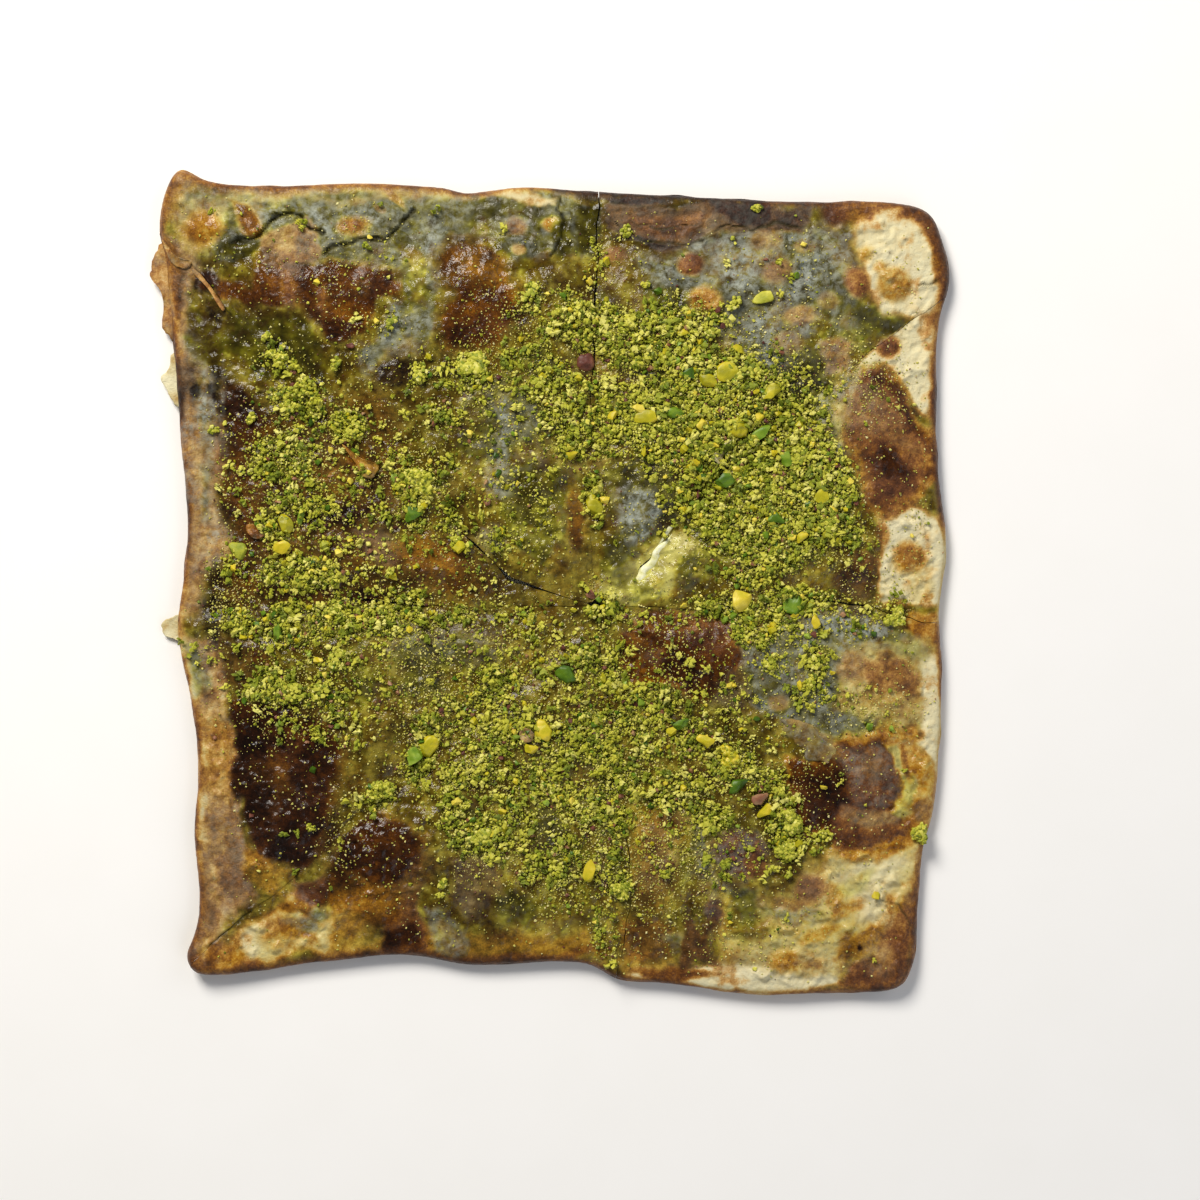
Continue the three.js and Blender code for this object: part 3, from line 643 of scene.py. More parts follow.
rind: -36,-104 -18,-102 -14,-116 -30,-122; soft 2.4 cover 0.7
frost: -42,-118 -36,-118 -32,-130 -36,-140 -42,-138; soft 1.4 cover 0.55
plum: -40,-122 -36,-122 -34,-132 -38,-136; soft 1.6 cover 0.5
mahogany: -64,-114 -46,-112 -44,-126 -46,-140 -64,-136; soft 2.4 cover 0.95
dark: -64,-126 -50,-124 -47,-134 -54,-139 -65,-137; cover 0.95
amber: -84,-132 -64,-130 -64,-139 -84,-139; cover 0.8
buttery: -106,-117 -96,-112 -84,-118 -76,-126 -80,-138 -112,-142 -120,-128; soft 2.2
amber: -110,-119 -98,-120 -86,-128 -84,-123 -96,-116; soft 1.8 cover 0.85
buttery: -86,-116 -70,-118 -66,-130 -72,-138 -88,-137; soft 4 cover 0.55
raw: -117,-128 -110,-124 -106,-130 -108,-141 -114,-141; soft 3 cover 0.7
film: -84,-122 6,3; cover 0.6 turn 20
plum: -89,-115 6,3.4; cover 0.9 lift -0.6 turn -14
mahogany: -86,-117 4,2.4; cover 0.6 turn -14
raw: -80,-116.5 1.2,4.6; cover 0.8 lift 0.5 turn 10
amber: -74,-127 8,3.4; cover 0.6 turn 30
amber: -104,-128 -96,-124 -86,-128 -84,-134 -96,-132; soft 2.5 cover 0.5
frost: -92,-126 8,2.4; cover 0.5 turn -20
orange: -110,-121 -100,-122 -92,-128 -98,-129 -106,-125; soft 1.6 cover 0.6
honey: -129,-143 -116,-143 -111,-134 -117,-126 -127,-134
orange: -124,-136 6.4,5; soft 0.6 turn 40
mahogany: -131,-140 4,5; cover 0.9 turn 40
orange: -86,-106 -74,-88 -60,-80 -46,-90 -45,-110 -60,-117 -80,-114; soft 4 cover 0.85 only ssw
rust: -74,-88 -62,-84 -50,-90 -48,-104 -56,-112 -72,-110 -80,-102; soft 1.8 lift 0.8 only ssw
brown: -80,-102 -72,-112 -56,-114 -60,-124 -78,-124 -92,-116; soft 2.4 cover 0.9
mahogany: -98,-110 -86,-108 -80,-116 -92,-119; soft 1.4 cover 0.9
amber: -68,-118 12,5; cover 0.8 turn 16
gold: -72,-120 7,3; cover 0.7 turn 20
mahogany: -46,-106 6,7; cover 0.5
dark: -58,-104 8,4; cover 0.5 turn 30
# south-west slice
rust: -119,-42 -100,-40 -84,-52 -78,-70 -78,-84 -84,-96 -94,-106 -106,-100 -112,-88 -119,-78; soft 1.8
brown: -119,-40 -116,-42 -114,-84 -102,-106 -90,-108 -74,-92 -74,-60 -80,-44; soft 3 cover 0.8 only wsw
rust: -119,-44 -100,-40 -84,-52 -79,-70 -80,-84 -86,-96 -94,-104 -104,-99 -111,-88 -118,-78; cover 0.9
  only wsw
dark: -119,-58 -102,-60 -88,-58 -80,-72 -80,-86 -88,-98 -96,-106 -104,-98 -104,-84 -112,-84 -118,-78;
  soft 2.2 cover 0.95 only wsw
gold: -131,-46 -122,-46 -119,-60 -119,-78 -124,-82 -130,-78; soft 1.6 cover 0.6
amber: -112,-68 -98,-68 -94,-76 -102,-84 -112,-78; soft 4 cover 0.5
dark: -116,-73 3,8; cover 0.95
amber: -113,-94 -104,-101 -96,-108 -103,-114 -114,-108; soft 2.2 cover 0.85
honey: -108,-102 6,2.4; cover 0.8 turn -30
amber: -108,-24 -100,-26 -100,-33 -110,-30; soft 1.6 cover 0.8
film: -137,-20 -131,-18 -126,-36 -131,-42; soft 1.6 cover 0.7
brown: -124,-20 -104,-20 -100,-34 -112,-40 -122,-34; soft 3 cover 0.8
lime film: -8,-28 1.8,8; cover 0.9 turn -54
"""

# the outermost fold along the outline: place, toast, and how far in, mm
EDGE_TOAST = table("""
-136,150,0.48,4 -80,148,0.46,3.4 -32,146,0.5,3 -10,146,0.34,2 12,145,0.8,3 60,144,0.9,2
96,142,0.66,2.5 128,141,0.54,4 141,136,0.72,5 148,113,0.62,3.6 144,95,0.44,3.2 143,60,0.6,2.5
146,30,0.6,3 147,14,0.1,1 145,-8,0.1,1 145,-20,0.55,3 146,-32,0.55,1.4 145,-52,0.15,1 140,-92,0.36,2
136,-124,0.56,4 128,-150,0.58,4 100,-152,0.4,2.4 70,-152,0.25,1.4 42,-148,0.5,2 10,-141,0.62,3
-40,-140,0.6,3 -60,-139,0.66,3 -90,-141,0.55,3 -120,-145,0.55,4 -133,-142,0.8,5 -130,-115,0.56,3
-131,-80,0.5,3 -133,-45,0.5,3 -138,-16,0.42,2.4 -135,20,0.5,2.4 -138,70,0.48,2.6 -142,118,0.42,3""")


# %% Paint them in order
LARGE_OVAL = 8  # the edge of a smaller oval strays less
WARP_BROAD, WARP_FINE = (3.4, 15), (1.9, 5)  # how far edges stray, and over what length, mm
BEYOND = 8  # mm past a stroke's own size, where its straying edge has all but faded


def rows_of(text):
    """The rows of a list, each with the indented lines that it runs on in, and no notes."""
    return [row for row in text.strip().replace("\n  ", " ").split("\n") if row[0] != "#"]


def stroke_from(row):
    """Reads one row of the painter's list."""
    state, rest = row.split(": ")
    places, _, settings = rest.partition("; ")
    outline, words = table(places), settings.split()
    oval = len(outline) == 2
    if oval:
        stroke = {"soft": 0.35, "wander": 0.9 if outline[1].max() > LARGE_OVAL else 0.35}
    else:
        stroke = {"soft": 2.0, "wander": 1.3}
    stroke |= {"cover": 1.0, "lift": 0.0, "turn": 0.0, "only": None}
    for name, value in zip(words[::2], words[1::2]):
        stroke[name] = value if name == "only" else float(value)
    return SimpleNamespace(state=state, outline=outline, oval=oval, **stroke)


def oval_reach(x, y, middle_x, middle_y, half_x, half_y, turn=0):
    """How far out in an oval each place is: 0 at its middle, 1 at its edge."""
    cos, sin = math.cos(math.radians(turn)), math.sin(math.radians(turn))
    along = (x - middle_x) * cos + (y - middle_y) * sin
    across = (y - middle_y) * cos - (x - middle_x) * sin
    return np.hypot(along / half_x, across / half_y)


def cover_of(stroke, x, y):
    """How much a stroke covers each place, 1 inside and 0 outside, and how it domes there."""
    if stroke.oval:
        reach = oval_reach(x, y, *stroke.outline.ravel(), stroke.turn)
        return 1 - smooth(reach, 1 - stroke.soft, 1 + stroke.soft), 1 - smooth(reach, 0.35, 1.15)
    inset = inset_in(x, y, stroke.outline)
    return smooth(inset, -stroke.soft, stroke.soft), smooth(inset, -1, 4)


def in_reach(stroke):
    """The part of the grid that a stroke can reach, as two slices."""
    if stroke.oval:
        reach = stroke.outline[1].max() * (1 + stroke.soft) + BEYOND
        low = stroke.outline[0] - reach
        high = low + 2 * reach
    else:
        low, high = stroke.outline.min(0) - BEYOND, stroke.outline.max(0) + BEYOND
    first = np.clip(((low - grid_low) / GRID_STEP).astype(int), 0, grid_count)
    last = np.clip(((high - grid_low) / GRID_STEP).astype(int) + 1, 0, grid_count)
    return slice(first[1], last[1]), slice(first[0], last[0])


warp_x, warp_y = (WARP_BROAD[0] * noise(GRID_X, GRID_Y, WARP_BROAD[1], seed)
                  + WARP_FINE[0] * lumps(WARP_FINE[1], seed + 2, 4)
                  for seed in (11, 12))
paint = {name: np.zeros_like(GRID_X) for name in MASKS}
lifted = np.zeros_like(GRID_X)
strokes = [stroke_from(row) for row in rows_of(STROKES)]
for stroke in strokes:
    here = in_reach(stroke)
    covered, domed = cover_of(stroke, GRID_X[here] + stroke.wander * warp_x[here],
                              GRID_Y[here] + stroke.wander * warp_y[here])
    if stroke.only:
        covered, domed = covered * IN_SLICE[stroke.only][here], domed * IN_SLICE[stroke.only][here]
    for name, target in zip(MASKS, STATES[stroke.state]):
        paint[name][here] += (target - paint[name][here]) * covered * stroke.cover
    lifted[here] += stroke.lift * domed
print("painted", len(strokes), "strokes,", since_start())

# %% The outer fold, the west rim, and unevenness everywhere
EDGE_BLEND = 30  # mm2: how gently one place of the fold passes into the next
weights = [1 / (np.hypot(GRID_X - x, GRID_Y - y) ** 2 + EDGE_BLEND) ** 2 for x, y, _, _ in EDGE_TOAST]
edge_toast, edge_width = (sum(w * entry[k] for w, entry in zip(weights, EDGE_TOAST)) / sum(weights)
                          for k in (2, 3))
edge_width = edge_width * (1 + 0.5 * lumps(10, 21, 3))
near_edge = 1 - smooth(INSET, edge_width * 0.2, edge_width * 1.6)
for name, target in (("toast", edge_toast), ("wet", 0.6), ("soak", 0), ("frost", 0.05)):
    paint[name] += (target - paint[name]) * near_edge

# the folded rim in the west wrinkled along its length, and is darkest a third of the way down
west_rim = smooth(-GRID_X, 116, 124) * (1 - smooth(GRID_Y, 108, 124))
streaks = rough(GRID_X, GRID_Y * 0.22, 4, 36, 4)
southern = smooth(-GRID_Y, -10, 50)
shaded = np.exp(-(((GRID_Y - 50) / 32) ** 2))
paint["toast"] += (0.45 * streaks + 0.02 + 0.22 * shaded - 0.18 * southern) * west_rim
# painted highlights: pale streaks along the rim's wrinkles stand for light shining off them
paint["frost"] += 0.28 * smooth(-streaks, 0.15, 0.5) * west_rim

# the pan, the butter and the air were uneven everywhere
inner = smooth(INSET, 2, 14)
browned = smooth(paint["toast"], 0.3, 0.6)
mottle = (0.12 + 0.1 * browned) * lumps(11, 31, 5)
paint["toast"] += mottle * smooth(paint["toast"], 0.02, 0.3)
paint["toast"] += 0.22 * smooth(lumps(7, 35, 4), 0.12, 0.6) * (1 - browned)
paint["soak"] *= 1 + 0.8 * lumps(12, 32, 4) * inner
paint["wet"] += 0.35 * lumps(16, 33, 3) * inner
paint["frost"] += 0.03 * inner * (1 - browned)
paint["frost"] *= 1 + 1.2 * lumps(8, 34, 5)
paint = {name: np.clip(values, 0, 1) for name, values in paint.items()}
print({name: float(values[INSET > 0].mean().round(3)) for name, values in paint.items()})

# %% [markdown]
# ## Where the nuts were strewn
# Ground pistachio falls from the hand in handfuls: thick over the north-east, thinner in
# bands to the west and south, and hardly any at the rim. The same map is used twice. It
# says how many loose crumbs land in each place, and it puts a fine green grit, which is
# too small to be worth a mesh of its own, into the skin's colour and relief.

# %% Handfuls: middle, half-sizes and how thickly they lie
HANDFULS = table("""
62,62,40,27,1 18,96,17,10,0.95 38,88,22,14,0.95 14,60,18,17,0.8 76,40,37,26,1 100,28,17,20,0.95
66,22,17,16,0.95 78,8,22,9,0.8 17,34,4,11,0.9 2,93,8,6,0.75 -10,103,7,5,0.6 0,74,12,9,0.6
56,98,14,6,0.7 78,103,5,3,0.5 18,114,3,14,0.4 27,128,4,3,0.3 98,56,12,12,0.6 108,44,6,9,0.8
100,74,9,5,0.4 8,104,10,5,0.5 80,-8,32,6,0.85 64,-10,12,5,0.8 78,-16,12,7,0.8 126,-10,7,5,0.7
112,-14,10,8,0.4 98,-30,6,9,0.6 81,-28,6,6,0.5 96,-38,8,4,0.5 92,-20,10,6,0.5 118,-46,10,5,0.2
106,-42,12,6,0.2 20,-6,9,8,0.5 22,-12,14,6,0.55 48,-14,8,4,0.4 54,-26,8,5,0.3 20,-32,16,13,0.8
38,-44,12,9,0.75 54,-56,12,10,0.8 68,-66,12,9,0.7 20,-54,16,10,0.75 30,-66,16,10,0.75
46,-74,16,9,0.8 60,-86,12,8,0.8 80,-74,8,8,0.7 88,-90,7,11,0.85 98,-94,9,6,0.6 90,-104,7,4,0.5
24,-84,6,18,0.7 24,-108,7,10,0.75 22,-132,6,13,0.5 50,-96,14,9,0.3 2,-30,12,9,0.6 -20,-40,16,10,0.7
-16,-52,14,9,0.75 -40,-50,12,12,0.6 2,-56,10,12,0.5 -6,-68,16,12,0.6 -28,-70,13,10,0.7
-47,-64,7,9,0.7 -22,-92,18,10,0.85 -34,-84,8,5,0.7 2,-84,14,14,0.6 4,-104,16,8,0.7 -62,-78,8,5,0.7
-62,-42,11,9,0.5 -66,-28,12,7,0.45 10,-118,12,8,0.3 -80,-13,44,8,0.85 -94,-14,26,8,0.9
-54,-11,10,9,0.85 -34,-12,10,5,0.6 -12,-12,10,5,0.5 -30,-24,9,9,0.45 -78,-28,7,8,0.75
-95,-38,15,8,0.75 -82,-42,8,8,0.75 -108,-38,8,6,0.5 -92,-54,14,9,0.55 -76,-58,8,4,0.5
-92,68,11,9,0.9 -76,60,10,8,0.75 -96,48,17,15,0.7 -90,32,17,10,0.65 -100,18,9,10,0.75
-92,4,18,8,0.75 -114,8,8,7,0.5 -62,46,14,12,0.4 -48,36,12,10,0.9 -44,24,13,8,0.7 -38,60,8,8,0.65
-30,78,12,7,0.75 -47,78,4,7,0.6 -18,80,10,5,0.5 -6,84,10,6,0.5 -24,46,5,12,0.3 -5,26,5,6,0.4
-15,14,7,6,0.6 -38,15,8,6,0.6 -62,22,14,8,0.25 -102,83,8,5,0.5 -60,96,8,5,0.25 -120,50,9,12,0.25
-62,4,18,8,0.3 -138,2,4,4,0.3 -126,-22,8,6,0.25 -20,-28,12,8,0.3 0,-62,50,42,0.55 50,-60,34,34,0.5
-85,30,38,44,0.4 -84,-30,34,26,0.4 -30,40,34,44,0.3 -20,-20,40,14,0.35 60,-98,30,14,0.25""")
# where few fell, or where they slid off: middle, half-sizes
BARE = table("""
123,60,19,22 127,42,14,18 36,5,15,13 32,26,7,8 -80,131,56,13 -76,108,26,12 -100,-80,17,26
-66,-100,12,12 -90,-126,30,14 116,-76,17,20 96,112,36,16 112,-124,26,20 -130,40,9,70 -126,-80,12,50
50,134,36,8 102,-58,12,7""")
strewn, HALO = np.zeros_like(GRID_X), np.zeros_like(GRID_X)  # 0 is bare, 1 is thick
for *oval, heavy in HANDFULS:
    reach = oval_reach(GRID_X + warp_x, GRID_Y + warp_y, *oval)
    strewn = np.maximum(strewn, heavy * (1 - smooth(reach, 0.55, 1.35)))
    HALO = np.maximum(HALO, heavy * (1 - smooth(reach, 0.8, 2.4)))  # the finest fly furthest
for oval in BARE:
    reach = oval_reach(GRID_X + 0.4 * warp_x, GRID_Y + 0.4 * warp_y, *oval)
    strewn = strewn * (0.08 + 0.92 * smooth(reach, 0.8, 1.1))
    HALO = HALO * (0.6 + 0.4 * smooth(reach, 0.8, 1.1))
clumping = lumps(7, 41, 3)
gathered = smooth(clumping + 1.5 * (strewn - 0.62), -0.3, 0.3)  # thin places gather in clumps
STREWN = np.clip(strewn * (0.42 + 0.75 * gathered), 0, 1) * (INSET > 1)
GRIT = smooth(STREWN, 0.35, 0.8)
print(f"thickly strewn: {100 * (STREWN > 0.5).sum() / (INSET > 0).sum():.0f}% of the top")

# %% [markdown]
# ## Wrinkles, flakes and cracks
# On top of the plain height come the small forms: a quilted unevenness where the filling
# lies, fine wrinkles of the film, blisters, ground nuts pushing up from below, the
# stepped edges of leaves that lie over each other, and cracks, which are grooves between
# lips that lifted as they dried. All of it fades out towards the rolled edge.

# %% Where the skin cracked, creased and split into leaves
# a crack's way, width and depth
CRACKS = [
    ("-117,126 -109,127 -106,129 -104,133 -100,136 -95,137 -92,136 -88,131 -84,130", 2, 1.5),
    ("-83,121 -80,124 -75,125 -70,127.5 -66,128 -60,126 -54,133 -50,138", 1.5, 1.1),
    ("4,143 3.5,138 6,134 5,128 1,121", 1.4, 1),
    ("137,110 143,112", 0.9, 0.6),
    ("123,-117 130,-119 133,-125 136,-129", 0.6, 0.6),
    ("-127,-135 -110,-121", 0.8, 0.5),
    ("20,138 27,131 35,127 52,125 60,128", 0.8, 0.6),
    ("24,141 40,138.5 56,141", 0.7, 0.5),
    ("58,128 66,133 76,131 84,134 97,131", 0.8, 0.6),
    ("30,134 42,131 56,133", 0.6, 0.4),
]
# where the film shrank into sharp creases: middle, half-sizes, mm high
CREASED = table("""
-66,-99,13,13,1.3 -97,-80,13,26,0.6 44,-28,20,12,0.5 112,-122,16,12,0.4 -84,106,24,14,0.4
116,-92,12,7,0.5""")
# a leaf's edge: the left of this way stands higher, by this, over this reach
LEDGES = [
    ("127,-118 123,-123 120,-130 117,-137 113,-140.5 110,-145 106.5,-151", 0.9, 6),
    ("95.5,-139.5 100,-137 109,-131 118,-123 123,-117", 0.5, 3),
    ("137,-120 132,-126 129,-136 128,-150", 0.6, 3),
    ("-84,130 -88,131 -92,136 -95,137 -100,136 -104,133", 0.7, 5),
    ("-105,128 -107,118 -102,104 -92,98", 0.35, 8),
    ("-50,138 -54,133 -60,126 -66,128 -75,125 -83,121", 0.6, 4),
    ("-21,118 -16,115.5 -8,116.5 -3,118", 0.7, 3),
    ("-131,117 -127,113 -121,104 -118,100", 1.2, 3),
    ("20,143 24,131 32,126 56,124 60,128", 0.5, 5),
    ("22,138 36,139 48,141 58,141", 0.4, 2),
    ("26,133 40,134 56,132", 0.4, 2),
    ("-122,100 -124,80 -122,60 -120,20 -121,0", 0.5, 5),
    ("-123,-36 -119,-60 -118,-82 -110,-98 -104,-106", 0.7, 4),
    ("140,-82 133,-88 124,-96 112,-101 104,-98", 0.6, 4),
    ("88,-62 90,-80 96,-92", 0.5, 5),
    ("136,-58 138,-70 136,-80", 0.5, 3),
    ("105,25 112,30 117,12 121,-6", 0.5, 4),
    ("25,-16 28,-30 42,-38 62,-42 68,-30", 0.5, 5),
    ("-44,-118 -43,-130 -42,-139", 0.6, 4),
    ("29,-86 30,-104 33,-122", 0.5, 3),
    ("0,30 -9,50 -15,70 -20,86", 0.5, 3),
    ("-70,-116 -48,-113 -39,-117.5", 0.5, 2.5),
    ("-78,-90 -70,-84 -58,-86", 0.6, 4),
    ("20,-6 22,6 29,18 38,27", 0.4, 4),
]
print(len(CRACKS), "cracks,", len(LEDGES), "edges of leaves")

# %% Relief map
RELIEF_FLOOR = -1.4  # the top sheet is 1.9 mm thick, so no hollow may reach through it
SKIN_CEILING, NUT_CEILING = (11.4, 12.9), (13.2, 14.4)  # above the knee it is squeezed, mm
# cuts that the top leaf still bridges, and the share of their length where it starts to
BRIDGED = (("nnw", 0.3), ("sse", 0.0), ("wnw", 0.65))

# heights are in mm, and so is the first number that goes to lumps: how far across they are
crumple = 1 - 2 * np.abs(lumps(9, 51, 4))  # ridges where noise changes sign
leathery = 1 - 2 * np.abs(lumps(5, 60, 3))
pale = 1 - smooth(paint["toast"], 0.1, 0.5)  # pale dough is full of small bubbles
relief = 0.6 * lumps(22, 52, 2) + 0.55 * (crumple - 0.5) * (0.6 + paint["wet"])
relief += (0.3 + pale) * np.maximum(0, 2 * lumps(4.4, 58, 3)) ** 1.2
relief -= 0.5 * pale * smooth(lumps(3, 59, 2), 0.15, 0.5)
relief += 0.9 * paint["frost"] * leathery
for *oval, high in CREASED:
    reach = oval_reach(GRID_X + warp_x, GRID_Y + warp_y, *oval)
    relief += high * (leathery - 0.5) * (1 - smooth(reach, 0.5, 1.2))
relief += 0.3 * lumps(2.4, 53, 2) * (0.6 + paint["frost"] + 0.4 * paint["toast"])
relief += 0.8 * west_rim * streaks
nuts_below = np.maximum(0, lumps(3.2, 54, 2)) * paint["soak"]
relief += 0.5 * nuts_below + lifted
relief += GRIT * (0.8 * lumps(4, 55, 3) + 0.2)
closed = np.min([distance_to_path(GRID_X, GRID_Y, walk(cut_paths[name], np.linspace(start, 1, 9)))
                 for name, start in BRIDGED], 0)
relief += 1.5 * np.exp(-((closed / 3.5) ** 2))  # mm high and wide

wander_x, wander_y = (along + 0.7 * noise(GRID_X, GRID_Y, 3, seed)
                      for along, seed in ((GRID_X, 56), (GRID_Y, 57)))
for way, height, reach in LEDGES:
    off, left = beside_path(wander_x, wander_y, table(way))
    relief += np.where(left, height * np.exp(-off / reach), 0)
paint["crack"], ragged = np.zeros_like(GRID_X), 0.5 + 0.45 * lumps(6, 67, 3)
for way, width, deep in CRACKS:
    off = distance_to_path(wander_x, wander_y, table(way))
    groove = 1 - smooth(off, width * ragged - 0.35, width * ragged + 0.25)
    relief += 0.4 * np.exp(-((off - width) / 1.2) ** 2) - groove * deep
    paint["crack"] = np.maximum(paint["crack"], groove)
relief = np.maximum(relief, RELIEF_FLOOR)
curls = curl_lift(GRID_X, GRID_Y)  # the corners curl up freely past the ceiling
TOP = pressed_below(PLAIN_TOP - curls + relief * smooth(INSET, 0.3, 7), *SKIN_CEILING) + curls
print("relief, mm:", relief.min().round(2), "to", relief.max().round(2))

# %% [markdown]
# ## A slice as a fan of rows
# Each slice is a wedge. Its top is laid out as a fan: one point at the tip, and one more in
# each row outwards, so the triangles stay even from tip to rim and the last row lies
# exactly on the outline. The underside is a fan with a fifth of the rows. Walls join the
# two all round: at the cuts they are the knife's faces, at the rim the fold's outer band.

# %% Where the cuts run, and how wide they gape
def where_cut_leaves(path):
    """The share of a cut's length at which it leaves the square, and the outline step."""
    shares = np.linspace(0.5, 1, 301)
    places = walk(path, shares)
    gaps = np.linalg.norm(places[:, None] - outline_points[None], axis=-1)
    best = np.unravel_index(gaps.argmin(), gaps.shape)
    return shares[best[0]], best[1]


exits = {name: where_cut_leaves(path) for name, path in cut_paths.items()}
SEAMS = {  # how wide a cut looks: share of its length, and the gap there in mm
    "nne": "0,0.1 0.4,0.1 0.6,0.55 1,0.5", "ene": "0,0.02 0.3,0.05 1,0.2",
    "ese": "0,0.2 0.6,0.15 0.7,0.5 1,0.25", "sse": "0,0.05 1,0.02", "ssw": "0,0.2 1,0.3",
    "wsw": "0,0.1 0.15,0.1 0.3,0.05 1,0.15", "wnw": "0,0.3 0.3,0.1 0.5,0.8 0.6,0.05 1,0.05",
    "nnw": "0,0.1 0.08,0.3 0.13,1 0.16,1.4 0.18,0.2 0.21,0.15 0.24,1 0.27,0.1 1,0.02",
}
AS_SEEN = None  # asks for the gap that shows, not a share of the knife's gap


def half_gap(name, share, gap_share):
    if gap_share is AS_SEEN:
        uneven = 1 + 0.8 * rough(share * 60, CUTS[name][0] * 40, 3, 63, 3)
        return (np.interp(share, *table(SEAMS[name]).T) * uneven)[..., None] / 2
    return CUTS[name][0] / 2 * gap_share


def beside_cut(name, share, gap_share, side):
    """Places beside a cut, half its gap to one side (1 clockwise, -1 back)."""
    path = cut_paths[name]
    place = walk(path, share * exits[name][0])
    reached = lengths_along(path)
    step = np.searchsorted(reached, share * exits[name][0] * reached[-1], side="right") - 1
    step = np.clip(step, 0, len(path) - 2)
    run = path[step + 1] - path[step]
    run = run / np.linalg.norm(run, axis=-1, keepdims=True)
    sway = 0.9 * rough(share * 150, CUTS[name][0] * 90, 9, 47, 3)  # no hand cuts quite straight
    sway = (sway * smooth(share, 0, 0.12) * smooth(1 - share, 0, 0.06))[..., None]
    half = half_gap(name, share, gap_share) * side
    return place + (half + sway) * np.stack([run[..., 1], -run[..., 0]], -1)


def outline_between(first, second, across):
    start, end = exits[first][1], exits[second][1]
    at = (start + (end - start) % OUTLINE_STEPS * across) % OUTLINE_STEPS
    low = np.floor(at).astype(int)
    share = (at - low)[..., None]
    return (outline_points[low] * (1 - share)
            + outline_points[(low + 1) % OUTLINE_STEPS] * share)


def slice_length(name):
    rim_middle = outline_between(name, next_to(name), np.array([0.5]))[0]
    return np.linalg.norm(rim_middle - MIDDLE)


# %% Plan of a slice
def plan_of(name, share, across, gap_share):
    """Where a place of the slice is: a share outwards, and a share across clockwise."""
    sides = ((name, 1), (next_to(name), -1))
    a, b = (beside_cut(cut, share, gap_share, side) for cut, side in sides)
    ends = [beside_cut(cut, np.array([1.0]), gap_share, side)[0] for cut, side in sides]
    across = across[..., None]
    rim = outline_between(name, next_to(name), across[..., 0])
    bow = rim - (ends[0] * (1 - across) + ends[1] * across)
    inner = (across > 0) & (across < 1)
    place = a * (1 - across) + b * across + np.where(inner, bow * share[..., None] ** 2, 0)
    for axis in (0, 1):
        place[..., axis] += 0.45 * noise(place[..., 0], place[..., 1], 8, 61 + axis)
    return place


print("slice lengths, mm:", {name: round(float(slice_length(name)), 1) for name in SLICES})

# %% Fans
TIP_WIDTH = 0.5  # a fan starts where the slice is at least this wide, in mm


def tip_share(name, gap_share, start):
    shares = np.linspace(start, 40, 200) / slice_length(name)
    a = beside_cut(name, shares, gap_share, 1)
    b = beside_cut(next_to(name), shares, gap_share, -1)
    outwards = (a + b) / 2 - MIDDLE
    width = (outwards[:, 1] * (b - a)[:, 0] - outwards[:, 0] * (b - a)[:, 1])
    return shares[np.argmax(width / np.linalg.norm(outwards, axis=1) > TIP_WIDTH)]


def fan_shares(name, rows, gap_share, start, insets):
    """The shares outwards of a fan's rows: even steps, then the given last distances in."""
    length = slice_length(name)
    even = np.linspace(tip_share(name, gap_share, start), 1 - insets[0] / length,
                       rows + 2 - len(insets))
    return np.concatenate([even, 1 - np.array(insets[1:]) / length])


def row_and_column(rows):
    row = np.repeat(np.arange(rows), np.arange(1, rows + 1))
    return row, np.concatenate([np.arange(k + 1) for k in range(rows)])


def fan_places(shares):
    """Share outwards and share across of every point, row by row."""
    row, column = row_and_column(len(shares))
    return shares[row], np.where(row > 0, column / np.maximum(row, 1), 0.5)


def fan_faces(rows):
    """Triangles of a fan, facing up. Place (row, column) has number row (row + 1) / 2 + column."""
    row, column = row_and_column(rows)
    here, below = row * (row + 1) // 2 + column, (row + 1) * (row + 2) // 2 + column
    outer = np.stack([here, below + 1, below], -1)
    return np.vstack([outer, np.stack([here, here + 1, below + 1], -1)[column < row]])


def fan_loop(rows):
    """The numbers of a fan's outer places, clockwise: out along a cut, round, and back."""
    out = [k * (k + 1) // 2 for k in range(rows)]
    rim = [rows * (rows + 1) // 2 + k for k in range(rows)]
    back = [k * (k + 1) // 2 + k for k in range(rows, 0, -1)]
    return np.array(out + rim + back)


print("a fan of 3 rows has faces", fan_faces(3).tolist())


